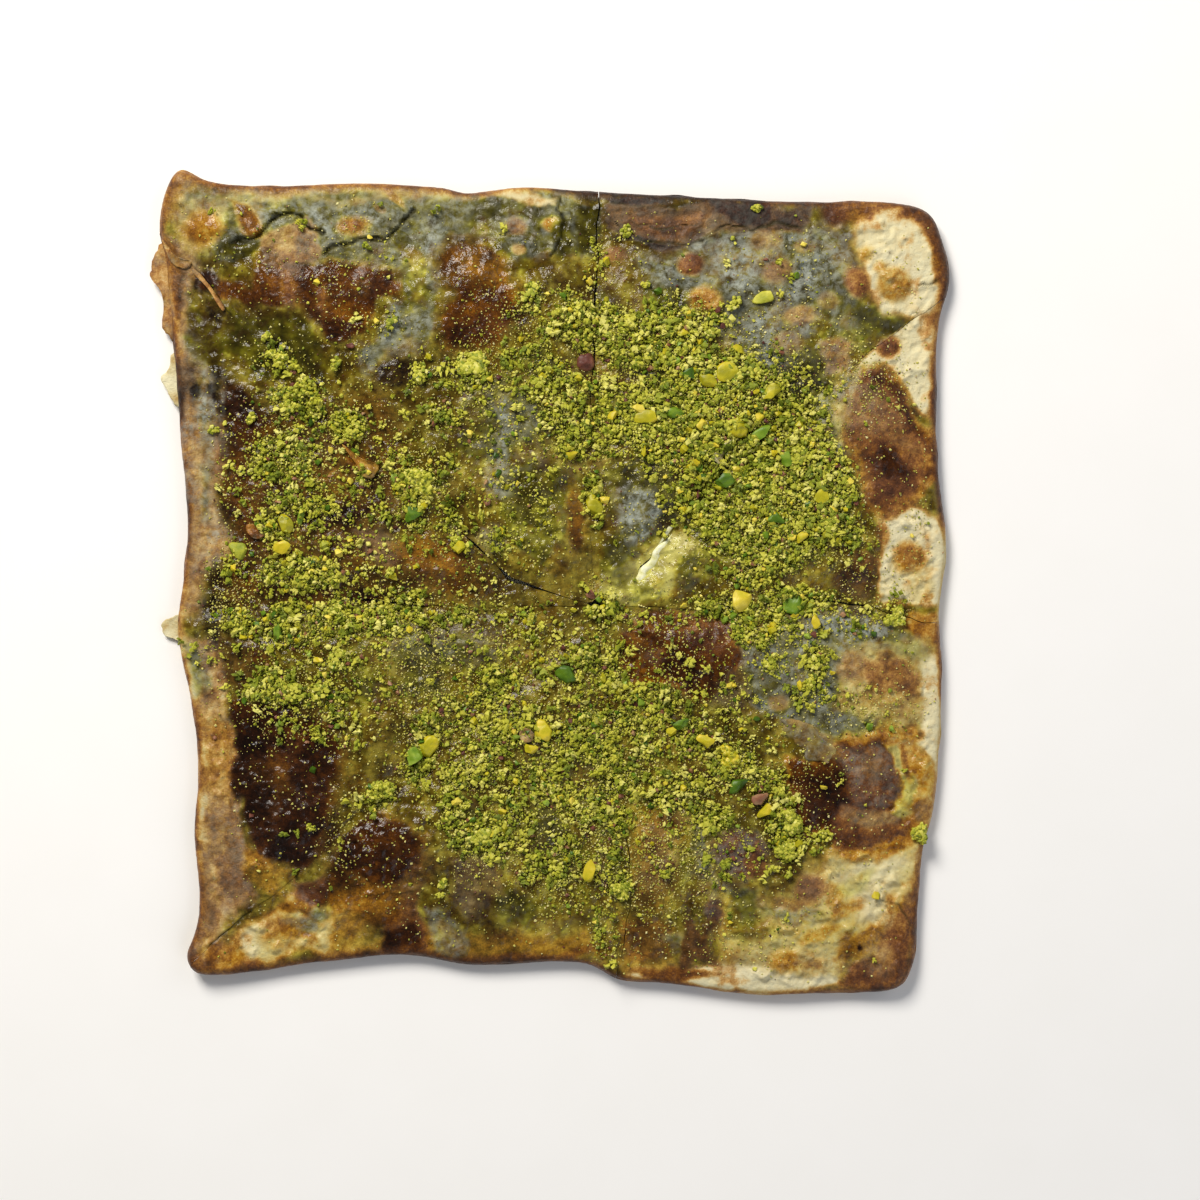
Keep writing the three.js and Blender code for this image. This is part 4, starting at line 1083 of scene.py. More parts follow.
# %% The slab between two fans
def slab(name, rows, finer, gap_share, start, insets, top, bottom, levels=1, wobble=0.0):
    """Points (mm) and triangles of a closed wedge: a fine fan above, a coarse one below."""
    coarse = fan_shares(name, rows, gap_share, start, insets)
    fine = np.interp(np.arange(rows * finer + 1) / finer, np.arange(rows + 1), coarse)
    corners, faces = [], [fan_faces(rows * finer)]
    for shares, height in ((fine, top), (coarse, bottom)):
        place = plan_of(name, *fan_places(shares), gap_share)
        corners.append(np.column_stack([place, height(place[:, 0], place[:, 1])]))
    upper_loop, lower_loop = fan_loop(rows * finer), fan_loop(rows)
    count, around = len(corners[0]), len(upper_loop)
    rim = corners[0][upper_loop]
    floor_loop = np.column_stack([rim[:, :2], bottom(rim[:, 0], rim[:, 1])])
    run = np.roll(rim, -1, 0)[:, :2] - np.roll(rim, 1, 0)[:, :2]
    out = np.column_stack([-run[:, 1], run[:, 0]]) / np.linalg.norm(run, axis=1, keepdims=True)
    rings, walls = [upper_loop], []
    for level in range(1, levels):
        share = level / levels
        ring = rim * (1 - share) + floor_loop * share
        ring[:, :2] += out * wobble * noise(np.arange(around) * 0.3, level * 7.0, 2.2, 71)[:, None]
        walls.append(ring)
        rings.append(count + len(corners[1]) + (level - 1) * around + np.arange(around))
    for upper, lower in zip(rings, rings[1:]):
        u, v = np.roll(upper, -1), np.roll(lower, -1)
        faces += [np.stack([upper, u, v], -1), np.stack([upper, v, lower], -1)]
    last, after = (np.roll(rings[-1], shift).reshape(-1, finer) for shift in (0, -1))
    low, low_next = lower_loop + count, np.roll(lower_loop, -1) + count
    split = finer // 2
    for k in range(finer):
        faces.append(np.stack([last[:, k], after[:, k], low if k < split else low_next], -1))
    faces += [np.stack([last[:, split], low_next, low], -1), fan_faces(rows)[:, ::-1] + count]
    return np.vstack(corners + walls), np.vstack(faces)


# %% Objects and meshes
def linked(name, data):
    """A new object in the scene for a mesh, a light or a camera."""
    made = bpy.data.objects.new(name, data)
    bpy.context.scene.collection.objects.link(made)
    return made


def set_points(mesh, points):
    """Puts a mesh's points at these places in mm."""
    mesh.vertices.foreach_set("co", (np.asarray(points) * MM).astype(np.float32).ravel())


def mesh_from(name, points, faces):
    """A mesh object from points in mm and triangles."""
    mesh = bpy.data.meshes.new(name)
    mesh.vertices.add(len(points))
    set_points(mesh, points)
    mesh.loops.add(faces.size)
    mesh.loops.foreach_set("vertex_index", faces.astype(np.int32).ravel())
    mesh.polygons.add(len(faces))
    mesh.polygons.foreach_set("loop_start", np.arange(0, faces.size, 3, dtype=np.int32))
    mesh.update(calc_edges=True)
    mesh.validate()
    return linked(name, mesh)


def piece_from(name, shape):
    """An object from a bmesh, which is then freed."""
    mesh = bpy.data.meshes.new(name)
    shape.to_mesh(mesh)
    shape.free()
    return linked(name, mesh)


# %% Points and edges of a piece
def vectors_of(items, field):
    """A vector of every item, such as each vertex's place, in rows of three."""
    flat = np.empty(len(items) * 3, np.float32)
    items.foreach_get(field, flat)
    return flat.reshape(-1, 3).astype(float)


def points_of(piece):
    """A piece's points in mm."""
    return vectors_of(piece.data.vertices, "co") / MM


def open_edges(piece):
    """How many edges don't have exactly two faces: a closed mesh has none."""
    shape = bmesh.new()
    shape.from_mesh(piece.data)
    loose = sum(1 for edge in shape.edges if len(edge.link_faces) != 2)
    shape.free()
    return loose


print("the frame's first slice has", len(points_of(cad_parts["yufka_nne"])), "points")


# %% What modifiers make
def finished_mesh(piece):
    """The plain mesh that a piece's modifiers make. They are then removed."""
    bpy.context.view_layer.update()
    evaluated = piece.evaluated_get(bpy.context.evaluated_depsgraph_get())
    mesh = bpy.data.meshes.new_from_object(evaluated)
    piece.modifiers.clear()
    return mesh


def apply_modifiers(piece):
    old, piece.data = piece.data, finished_mesh(piece)
    bpy.data.meshes.remove(old)
    piece.data.name = piece.name


def cut_out(piece, tool):
    """Cuts the tool's shape out of the piece, and deletes the tool."""
    modifier = piece.modifiers.new("cut", "BOOLEAN")
    modifier.operation, modifier.solver, modifier.object = "DIFFERENCE", "MANIFOLD", tool
    apply_modifiers(piece)
    bpy.data.objects.remove(tool)


def prism(name, outline, low, high):
    """A straight prism on an outline given anticlockwise, in mm."""
    count = len(outline)
    points = np.vstack([np.column_stack([outline, np.full(count, z)]) for z in (low, high)])
    shape = bmesh.new()
    corners = [shape.verts.new(point * MM) for point in points]
    shape.faces.new(corners[:count][::-1])
    shape.faces.new(corners[count:])
    for k in range(count):
        after = (k + 1) % count
        shape.faces.new([corners[k], corners[after], corners[count + after], corners[count + k]])
    return piece_from(name, shape)


print("helpers ready,", since_start())

# %% The eight slices of pastry
ROWS, FINER = (55), 5
ROLL_INSETS = (ROLL_RADIUS, 2.0, 0.9, 0)  # the last rows are close together, where it rounds
SLICE_START, POCKET_ROWS = 2.2, 30
PAST_THE_CUTS = -1  # the pocket crosses each cut by half the knife's gap, so it opens there
POCKET_INSETS = (OUTER_FOLD + 6, OUTER_FOLD)
TEAR = table("33,1 37.5,6.5 41.4,12.2 45.8,20 46.5,25 43.5,25 40.5,18 36.5,11.5 33,5")


def top_height(x, y):
    return read(TOP, x, y)


def bottom_height(x, y):
    return plain_bottom(x, y, np.maximum(read(INSET, x, y), 0))


def flat_at(height):
    """A surface that is as high as this everywhere."""
    return lambda x, y: np.full(np.shape(x), height)


yufka = {}
for name in SLICES:
    piece = mesh_from(f"pastry_{name}", *slab(
        name, ROWS, FINER, AS_SEEN, SLICE_START, ROLL_INSETS, top_height, bottom_height,
        levels=5, wobble=0.12))
    pocket = slab(name, POCKET_ROWS, 1, PAST_THE_CUTS, FILLING_START, POCKET_INSETS,
                  lambda x, y: read(PLAIN_TOP, x, y) - TOP_SHEET, flat_at(BOTTOM_SHEET))
    cut_out(piece, mesh_from("pocket", *pocket))
    if name == "ene":
        cut_out(piece, prism("tear", TEAR, BOTTOM_SHEET + 1, 40))
    yufka[name] = piece
    low, high = points_of(piece).min(0), points_of(piece).max(0)
    print(piece.name, len(piece.data.polygons), "faces, open edges", open_edges(piece),
          low.round(1), high.round(1))
print(since_start())

# %% [markdown]
# ## The cream
# Each wedge of clotted cream fills its slice's pocket with a little room left all round.
# Beside the middle the skin of one slice tore, and there the cream wells up through the
# opening and spills over its lip. So that wedge has finer rows, and its top follows the
# skin's top near the tear. Where a cut gapes, the cream is set back behind the pastry.

# %% The eight wedges of cream
TEAR_MIDDLE = table("33.6,2 37.4,7.6 40.6,12.6 43.8,18 45.8,22")
TEAR_REACH = 2.6  # how far from the tear's middle the cream wells up, mm
TEAR_SPILL, SPILL_REACH = np.array((-1.5, 1.3)), 1.7  # how far it spills, and within what, mm
CREAM_ROWS, FINE_CREAM_ROWS = 44, 110
CREAM_SET_BACK, FAR_BACK = 1.1, 2.4  # from a cut's middle, as a share of half the knife's gap
CREAM_INSETS = (OUTER_FOLD + 6 + CLEARANCE, OUTER_FOLD + CLEARANCE)


def cream_top(x, y):
    sunk = read(PLAIN_TOP, x, y) - TOP_SHEET - CLEARANCE - 0.1 + 0.3 * rough(x, y, 4, 81, 3) - 0.3
    away = distance_to_path(x, y, TEAR_MIDDLE) + 0.5 * noise(x, y, 2.2, 82)
    welled = top_height(x, y) + 0.75 - 0.3 * away**2 + 0.25 * rough(x, y, 1.8, 83, 2)
    return np.where(away < TEAR_REACH, np.maximum(sunk, welled), sunk)


creams = {}
for name in SLICES:
    points, faces = slab(name, FINE_CREAM_ROWS if name == "ene" else CREAM_ROWS, 1,
                         FAR_BACK if name in ("wnw", "nnw") else CREAM_SET_BACK,
                         FILLING_START + CLEARANCE, CREAM_INSETS, cream_top,
                         flat_at(BOTTOM_SHEET + CLEARANCE), levels=3)
    if name == "ene":
        away = distance_to_path(points[:, 0], points[:, 1], TEAR_MIDDLE)
        spilt = np.exp(-((away / SPILL_REACH) ** 2)) * smooth(points[:, 2], 8, 10)
        points[:, :2] += spilt[:, None] * TEAR_SPILL
    creams[name] = mesh_from(f"clotted_cream_{name}", points, faces)
    print(creams[name].name, len(faces), "faces, open edges", open_edges(creams[name]))

# %% [markdown]
# ## Give every point its state
# A material can only read what the mesh carries, so each point of the skin takes its
# values from the maps. The knife's faces and the underside weren't painted: the faces are
# the edges of stacked leaves, and the underside lay on the pan and browned in blots.

# %% Point attributes
def set_attribute(piece, name, values):
    attribute = piece.data.attributes.get(name) or piece.data.attributes.new(name, "FLOAT", "POINT")
    attribute.data.foreach_set("value", np.asarray(values, np.float32))


def give_state(piece):
    """Toast, wet, soak, frost, crack, grit, and cut (1 on the knife's faces) for each point."""
    x, y, z = points_of(piece).T
    facing_up = vectors_of(piece.data.vertex_normals, "vector")[:, 2]
    under = smooth(-facing_up, 0.3, 0.7) * (z < bottom_height(x, y) + 0.6)
    at_rim = 1 - smooth(read(INSET, x, y), 0.6, 1.6)
    on_face = smooth(top_height(x, y) - z, 0.35, 0.8) * (1 - at_rim) * (1 - under)
    blots = smooth(rough(x, y, 17, 91, 4), -0.25, 0.5)
    below = {"toast": 0.16 + 0.5 * blots + 0.12 * rough(x, y, 5, 92, 2), "wet": 0.35, "soak": 0.12,
             "frost": 0.25, "crack": 0}
    for mask, values in paint.items():
        set_attribute(piece, mask, read(values, x, y) * (1 - under) + below[mask] * under)
    set_attribute(piece, "grit", read(GRIT, x, y) * (1 - under) * (1 - on_face))
    set_attribute(piece, "cut", on_face)


SHARP_ANGLE = 50
for piece in yufka.values():
    give_state(piece)
    piece.data.set_sharp_from_angle(angle=math.radians(SHARP_ANGLE))
print("states given,", since_start())

# %% [markdown]
# ## Fried yufka as a material
# Yufka is flour and water, rolled to about a third of a millimetre and fried in butter.
# Dry, it is matt and goes from cream through tan to a reddish brown. Full of butter it is
# glossy and half clear, and the same heat makes it amber, then nearly black. So the
# material has two colour ramps over `toast`, blends them by `wet`, and then lays the
# green soak, the grey frost with its painted highlights, and the grit over them. The knife's
# faces and the cracks are darkened last, partly as painted shade. Noise at 6 mm, 2 mm and
# 0.6 mm keeps every edge uneven: those are the sizes of a blister, a bubble and a grain.

# %% One function that adds a node
def linear(hex_colour):
    """An sRGB colour such as #dcd2ae as the linear values that a shader needs."""
    parts = [int(hex_colour[k:k + 2], 16) / 255 for k in (1, 3, 5)]
    return (*(p / 12.92 if p <= 0.04045 else ((p + 0.055) / 1.055) ** 2.4 for p in parts), 1)


def add(tree, kind, inputs=(), stops="", **settings):
    """Adds a node. Inputs go by name or number, or in order: each is a value, a socket, or a
    node, whose first output is taken. Stops are a ramp's places and colours in turn."""
    made = tree.nodes.new(kind)
    for name, value in settings.items():
        setattr(made, name, value)
    for socket, value in inputs.items() if isinstance(inputs, dict) else enumerate(inputs):
        source = value.outputs[0] if isinstance(value, bpy.types.Node) else value
        if isinstance(source, bpy.types.NodeSocket):
            tree.links.new(source, made.inputs[socket])
        else:
            made.inputs[socket].default_value = source
    pairs = list(zip(stops.split()[::2], stops.split()[1::2]))
    while pairs and len(made.color_ramp.elements) < len(pairs):
        made.color_ramp.elements.new(1)
    for number, (place, colour) in enumerate(pairs):
        element = made.color_ramp.elements[number]
        element.position, element.color = float(place), linear(colour)
    return made


def per_mm(size):
    """The texture scale at which a pattern repeats about every `size` mm."""
    return 1 / (size * MM)


def new_material(name):
    """A material with a shader, its node tree, and Object coordinates to lay patterns by."""
    material = bpy.data.materials.new(name)
    material.use_nodes = True
    tree = material.node_tree
    tree.nodes.clear()
    shader = add(tree, "ShaderNodeBsdfPrincipled")
    add(tree, "ShaderNodeOutputMaterial", {"Surface": shader})
    return material, tree, shader, add(tree, "ShaderNodeTexCoord").outputs["Object"]


print("#808080 is", round(linear("#808080")[0], 3), "linear")

# %% Fried yufka: what each point carries, and three sizes of mottle
FRIED_YUFKA, tree, shader, place = new_material("fried_yufka")
point = {name: add(tree, "ShaderNodeAttribute", attribute_name=name).outputs["Fac"]
         for name in (*MASKS, "grit", "cut", "crack")}
toast, wet, soak, frost = (point[name] for name in MASKS)
MOTTLES = ((6, 0.2), (1.9, 0.2), (0.6, 0.17))  # mm, and how much it moves the toast
grains, stir = [], -sum(share for _, share in MOTTLES) / 2
for size, share in MOTTLES:
    grain = add(tree, "ShaderNodeTexNoise", {"Vector": place, "Scale": per_mm(size),
                                             "Detail": 2.0, "Roughness": 0.6})
    grain = add(tree, "ShaderNodeMapRange", {"Value": grain, "From Min": 0.28, "From Max": 0.72})
    stir = add(tree, "ShaderNodeMath", (grain, share, stir), operation="MULTIPLY_ADD")
    grains.append(grain)
blister, bubble, fleck = grains
strength = add(tree, "ShaderNodeMapRange", {"Value": toast, "From Min": 0.0, "From Max": 0.35,
                                            "To Min": 0.25, "To Max": 1.0},
               interpolation_type="SMOOTHSTEP")
mottled = add(tree, "ShaderNodeMath", (stir, strength, toast), operation="MULTIPLY_ADD",
              use_clamp=True)
print("each point carries", list(point))

# %% Fried yufka: dry and buttery crust, and the film that the filling shows through
dry = add(tree, "ShaderNodeValToRGB", {"Fac": mottled}, stops=(
    "0 #dad2ad 0.1 #d3c396 0.22 #c29c60 0.34 #a5773c "
    "0.48 #82522a 0.62 #60391f 0.8 #412415 1 #251711"))
buttery = add(tree, "ShaderNodeValToRGB", {"Fac": mottled}, stops=(
    "0 #cabd7c 0.12 #bd9f4d 0.26 #a8771f 0.4 #82520f "
    "0.55 #57310a 0.7 #391d08 0.85 #221006 1 #110704"))
ground = add(tree, "ShaderNodeTexVoronoi", {"Vector": place, "Scale": per_mm(2.6)})
depth = -0.25
for source, share in ((soak, 0.75), (blister, 0.5), (ground, 0.25)):
    depth = add(tree, "ShaderNodeMath", (source, share, depth), operation="MULTIPLY_ADD")
dry_film = add(tree, "ShaderNodeValToRGB", {"Fac": depth},
               stops="0 #a8a37b 0.25 #8b8355 0.5 #6c652f 0.75 #4d4713 1 #302b07")
wet_film = add(tree, "ShaderNodeValToRGB", {"Fac": depth},
               stops="0 #c6c552 0.25 #b3af40 0.5 #6d6812 0.75 #464008 1 #292404")
film = add(tree, "ShaderNodeMix", {0: wet, 6: dry_film, 7: wet_film}, data_type="RGBA").outputs[2]
through = add(tree, "ShaderNodeMath", (mottled, -1.6, 1.6), operation="MULTIPLY_ADD")
shows = add(tree, "ShaderNodeMath", (soak, 1.5), operation="MULTIPLY")  # less where browned
shows = add(tree, "ShaderNodeMath", (shows, through), operation="MULTIPLY", use_clamp=True)
print(len(tree.nodes), "nodes for crust and film")

# %% Fried yufka: frost with painted highlights, grit, and the knife's faces and cracks with painted shade, each laid over the last
# the veil's grey-white is dried frost, and also painted highlights where streaks stand for light on the
# glossy film
veil = add(tree, "ShaderNodeTexNoise", {"Vector": place, "Scale": per_mm(3.2), "Detail": 6.0,
                                        "Roughness": 0.72, "Distortion": 0.4})
veil = add(tree, "ShaderNodeMapRange", {"Value": veil, "From Min": 0.37, "From Max": 0.64},
           interpolation_type="SMOOTHSTEP")
frost_and_sheen_share = add(tree, "ShaderNodeMath", (frost, veil), operation="MULTIPLY")
cells = add(tree, "ShaderNodeTexVoronoi", {"Vector": place, "Scale": per_mm(1.2)})
nutty = add(tree, "ShaderNodeValToRGB", {"Fac": cells},
            stops="0 #adab38 0.3 #86851f 0.6 #4a480a 1 #2a2704")
# the knife's faces show stacked leaves, but their ramp is kept nearly black: painted shade for the narrow
# gaps between slices
flattened = add(tree, "ShaderNodeMapping", {"Vector": place, "Scale": (0.12, 0.12, 1.0)})
leaf_noise = add(tree, "ShaderNodeTexNoise", {"Vector": flattened, "Scale": per_mm(0.5),
                                              "Detail": 1.0})
leaf_edges_in_painted_shade = add(tree, "ShaderNodeValToRGB", {"Fac": leaf_noise},
             stops="0.3 #120b04 0.5 #33220a 0.7 #6e5327")
# a crack's dark olive is the film deep in the groove, darkened further as painted shade
gritty, crack_shade = (add(tree, "ShaderNodeMath", (point[name], 0.85), operation="MULTIPLY")
                   for name in ("grit", "crack"))
skin = dry
for share, coat in ((wet, buttery), (shows, film), (frost_and_sheen_share, linear("#999e92")),
                    (gritty, nutty), (point["cut"], leaf_edges_in_painted_shade), (crack_shade, linear("#2b2708"))):
    skin = add(tree, "ShaderNodeMix", {0: share, 6: skin, 7: coat}, data_type="RGBA").outputs[2]
tree.links.new(skin, shader.inputs["Base Color"])
print(len(tree.nodes), "nodes with all that lies on it")

# %% Fried yufka: gloss and the finest relief
matt = 0.61
for source, share in ((wet, -0.5), (point["grit"], 0.25), (point["cut"], 0.4), (frost_and_sheen_share, 0.15),
                      (bubble, 0.14)):
    matt = add(tree, "ShaderNodeMath", (source, share, matt), operation="MULTIPLY_ADD",
               use_clamp=True)
tree.links.new(matt.outputs[0], shader.inputs["Roughness"])
flecked = add(tree, "ShaderNodeMath", (wet, -0.2, 0.28), operation="MULTIPLY_ADD")
pitted = add(tree, "ShaderNodeMath", (point["grit"], -1.4), operation="MULTIPLY")
height = 0.0
for source, share in ((fleck, flecked), (bubble, 0.5), (cells, pitted)):
    height = add(tree, "ShaderNodeMath", (source, share, height), operation="MULTIPLY_ADD")
bump = add(tree, "ShaderNodeBump", {"Height": height, "Distance": 0.4 * MM, "Strength": 0.85})
tree.links.new(bump.outputs[0], shader.inputs["Normal"])
shader.inputs["IOR"].default_value = 1.45
shader.inputs["Specular IOR Level"].default_value = 0.24
print(FRIED_YUFKA.name, len(tree.nodes), "nodes")

# %% [markdown]
# ## Clotted cream and pistachio
# Clotted cream is boiled milk's skin and cream, set in curds: softly glossy, and pale with
# a tinge of the nuts' green. A pistachio's flesh is waxy: lime where it is ground, since
# every crumb shows fresh breaks, and yellow or green where it is cut in larger bits. Its
# skin is purple brown. All of them are one recipe: noise of a real size, a ramp of colours,
# and small dents. Nuts also read `tint`, so that no two crumbs are quite the same colour.

# %% Clotted cream and pistachio
def grainy(name, stops, size, roughness, dent, strength, specular=0.5, tinted=False):
    """A mottled stuff. `size` is its grain in mm, and `dent` how deep that is pressed."""
    material, tree, shader, place = new_material(name)
    grain = add(tree, "ShaderNodeTexNoise", {"Vector": place, "Scale": per_mm(size),
                                             "Detail": 3.0})
    shade = grain
    if tinted:
        tint = add(tree, "ShaderNodeAttribute", attribute_name="tint").outputs["Fac"]
        shade = add(tree, "ShaderNodeMath", (grain, 0.5, tint), operation="MULTIPLY_ADD")
        shade = add(tree, "ShaderNodeMath", (shade, 0.25), operation="SUBTRACT", use_clamp=True)
    colour = add(tree, "ShaderNodeValToRGB", {"Fac": shade}, stops=stops)
    tree.links.new(colour.outputs[0], shader.inputs["Base Color"])
    bump = add(tree, "ShaderNodeBump", {"Height": grain, "Distance": dent * MM,
                                        "Strength": strength})
    tree.links.new(bump.outputs[0], shader.inputs["Normal"])
    shader.inputs["Roughness"].default_value = roughness
    shader.inputs["Specular IOR Level"].default_value = specular
    return material


CREAM = grainy("clotted_cream", "0.3 #cfcc80 0.5 #e4e2aa 0.7 #f1f0d0", 2.5, 0.38, 0.4, 0.7)
NUT_LOOKS = {  # material, colours, grain in mm, and roughness
    "lime": ("ground_pistachio", "0 #566310 0.25 #858f1e 0.5 #adac30 0.75 #c6c146 1 #d6d072",
             1.4, 0.6),
    "flour": ("pistachio_flour", "0 #8f8c2c 0.3 #b3ac46 0.6 #c9bf62 1 #ded596", 1.4, 0.6),
    "yellow": ("chopped_pistachio_yellow", "0 #8d8a14 0.35 #b5ab18 0.65 #cdb828 1 #e2cf55",
               2.2, 0.45),
    "green": ("chopped_pistachio_green", "0 #2f4a08 0.35 #4a6a0c 0.65 #688617 1 #93a83a",
              2.2, 0.45),
    "purple": ("pistachio_skin", "0 #451f1b 0.35 #693a2c 0.65 #88593c 1 #ad8a5c", 1.8, 0.5),
}
NUTS = {skin: grainy(*look, 0.25, 0.9, 0.35, tinted=True) for skin, look in NUT_LOOKS.items()}
for piece in yufka.values():
    piece.data.materials.clear()
    piece.data.materials.append(FRIED_YUFKA)
for piece in creams.values():
    piece.data.materials.append(CREAM)
    piece.data.shade_smooth()
print(CREAM.name, [material.name for material in NUTS.values()])

# %% [markdown]
# ## Chopped kernels and clumps
# Pieces as large as berries are measured solids of their own in the frame, but plain
# ones. Each is copied, remeshed into fine even cells and pushed in and out by noise. A
# kernel is then cut by flat planes, as the knife left it. A clump is many grains stuck
# together, so its surface is pushed out round a scatter of grain middles, and seventy
# places on it are kept as perches, where loose grains are set later.

# %% Copying, cutting and roughening
def copy_of(node, name):
    """A copy of a frame node's mesh with its loose corners merged."""
    shape = bmesh.new()
    shape.from_mesh(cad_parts[node].data)
    bmesh.ops.remove_doubles(shape, verts=shape.verts, dist=1e-6)
    return piece_from(name, shape)


def remesh(piece, cell):
    modifier = piece.modifiers.new("cells", "REMESH")
    modifier.mode, modifier.voxel_size, modifier.use_smooth_shade = "VOXEL", cell * MM, True
    apply_modifiers(piece)


def noise_3d(points, size, seed):
    x, y, z = points.T
    return (noise(x + 31.7, y, size, seed) + noise(y, z + 5.3, size, seed + 1)
            + noise(z, x + 9.1, size, seed + 2)) / 1.8


chance = np.random.default_rng(7)


def chopped(points, cuts, keep):
    """Presses points back behind a few flat planes, as the faces that a knife leaves."""
    middle = (points.min(0) + points.max(0)) / 2
    for _ in range(cuts):
        facing = chance.normal(0, 1, 3)
        facing /= np.linalg.norm(facing)
        reach = (points - middle) @ facing
        beyond = np.maximum(0, reach - chance.uniform(*keep) * reach.max())
        points = points - beyond[:, None] * facing
    return points


def regrown(points, low, high):
    """Stretches points back out to the box that they had before they were cut."""
    now_low, now_high = points.min(0), points.max(0)
    return low + (points - now_low) / (now_high - now_low) * (high - low)


# %% Detailed nuts over the plain solids
SKINS = {"kernel_06": "purple", "kernel_07": "lime", "kernel_15": "lime", "clump_07": "yellow",
         **{f"kernel_{number:02}": "green" for number in (2, 9, 10, 13)},
         **{f"kernel_{number:02}": "yellow" for number in (1, 3, 4, 5, 8, 11, 12, 14)}}
CELL, GRAIN_SIZE, GRAINS, PERCHES = 0.42, 1.5, 110, 70  # mm, mm, and counts on a clump
SUNK = 0.5  # how far a nut's foot settles into the skin, mm
nuts, perches = {}, []
for node in sorted(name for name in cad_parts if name.startswith(("kernel", "clump"))):
    clump, skin = node.startswith("clump"), SKINS.get(node, "lime")
    piece = copy_of(node, f"pistachio_{node}")
    remesh(piece, CELL)
    points, outwards = points_of(piece), vectors_of(piece.data.vertex_normals, "vector")
    low, high = points.min(0), points.max(0)
    seed = 100 + len(nuts) * 5
    if clump:
        middles = points[chance.choice(len(points), GRAINS)] + chance.normal(0, 0.3, (GRAINS, 3))
        gaps = np.linalg.norm(points[:, None] - middles[None], axis=-1)
        nearest = gaps.min(1) / (GRAIN_SIZE / 2)
        push = 0.7 * np.sqrt(np.clip(1.2 - nearest**2, 0, 1.2)) - 0.5
        push += 0.7 * noise_3d(points, 4, seed)
        tint = chance.uniform(0.15, 0.95, GRAINS)[gaps.argmin(1)]
    else:
        push = 0.6 * noise_3d(points, 2.6, seed) + 0.2 * noise_3d(points, 0.9, seed + 3)
        tint = 0.4 + 0.4 * noise_3d(points, 3, seed + 4)
    points = points + outwards * push[:, None]
    if not clump:
        cuts = 2 if skin == "purple" else 7  # one still in its skin is rounder
        points = regrown(chopped(points, cuts, (0.62, 0.92)), low, high)
    points[:, 2] -= SUNK * (1 - smooth(points[:, 2], low[2], low[2] + 1.2))
    points[:, 2] += max(0, read(TOP - PLAIN_TOP, *(low + high)[:2] / 2))
    points[:, 2] = pressed_below(points[:, 2], *NUT_CEILING)
    if clump:
        perches.append(points[chance.choice(len(points), PERCHES)])
    set_points(piece.data, points)
    piece.data.update()
    set_attribute(piece, "tint", tint)
    piece.data.materials.append(NUTS[skin])
    nuts[node] = piece
print(len(nuts), "nuts,", sum(len(p.data.polygons) for p in nuts.values()), "faces,", since_start())

# %% [markdown]
# ## Torn leaves
# Where the outer leaf dried it tore, and bits of it stand free: three ragged leaves out of
# the west edge, a fold and a twig of dough at the north-west corner, and curled shards and
# flakes on top. Each is a thin sheet. Its plan is a loop drawn in towards its middle in
# rings, its height follows what it lies on, and its outer part lifts off as it curls.

# %% Leaf shapes: state, height above the top or else above the floor, curl, and outline
LEAVES = {
    "west_leaf_long": ("torn", None, 3.4, 0.4,
        "-137,88 -137.6,104 -139,119 -142,127 -147,121 -148.2,114 -144.6,109 -143.4,103 -144,95 -140.5,90"),
    "west_leaf_short": ("raw", None, 2.6, 0.3,
        "-134.5,64 -136.5,87 -140.5,86 -141.5,80 -144,77 -142.6,72 -139,66"),
    "west_leaf_low": ("raw", None, 1.6, 0.5,
        "-136,-22 -136,-12 -141,-12.6 -144.6,-15 -143.4,-19 -139,-21"),
    "corner_fold": ("torn", 0.3, None, 0.8,
        "-142,126 -143,127 -139.5,118.4 -134,116.6 -131.5,118.6 -137,120.4"),
    "corner_twig": ("torn", 0.7, None, 0.6,
        "-131.2,116.4 -131.8,115.6 -126,109 -120.6,101 -119.8,101.3 -124.8,109.4"),
    "golden_shard": ("gold", 0.7, None, 0.9,
        "-76,51 -71,44 -68.5,39.5 -64.5,39 -63,43.5 -69,46"),
    "rosy_flake": ("orange", 0.7, None, 0.6,
        "-112,21 -109,16.5 -105,17.5 -104,20.5 -108,22"),
    "tan_flake": ("tan", 0.8, None, 0.5,
        "-11,-55 -9.5,-58.5 -6,-58 -5.5,-55 -8.5,-53"),
    "pale_shard": ("cream", 1.3, None, 0.9,
        "60.5,46 63,44.5 65,49 68,53 64,51"),
    "blister_shard": ("torn grey", 0.15, None, 0.4,
        "85,-49.5 88,-53 91,-59 94,-61 95,-65 101,-65.4 104.5,-67 106,-61 101,-57 97,-52 91,-50.5"),
}
LEAF_THICK, LEAF_RINGS = 0.35, 9


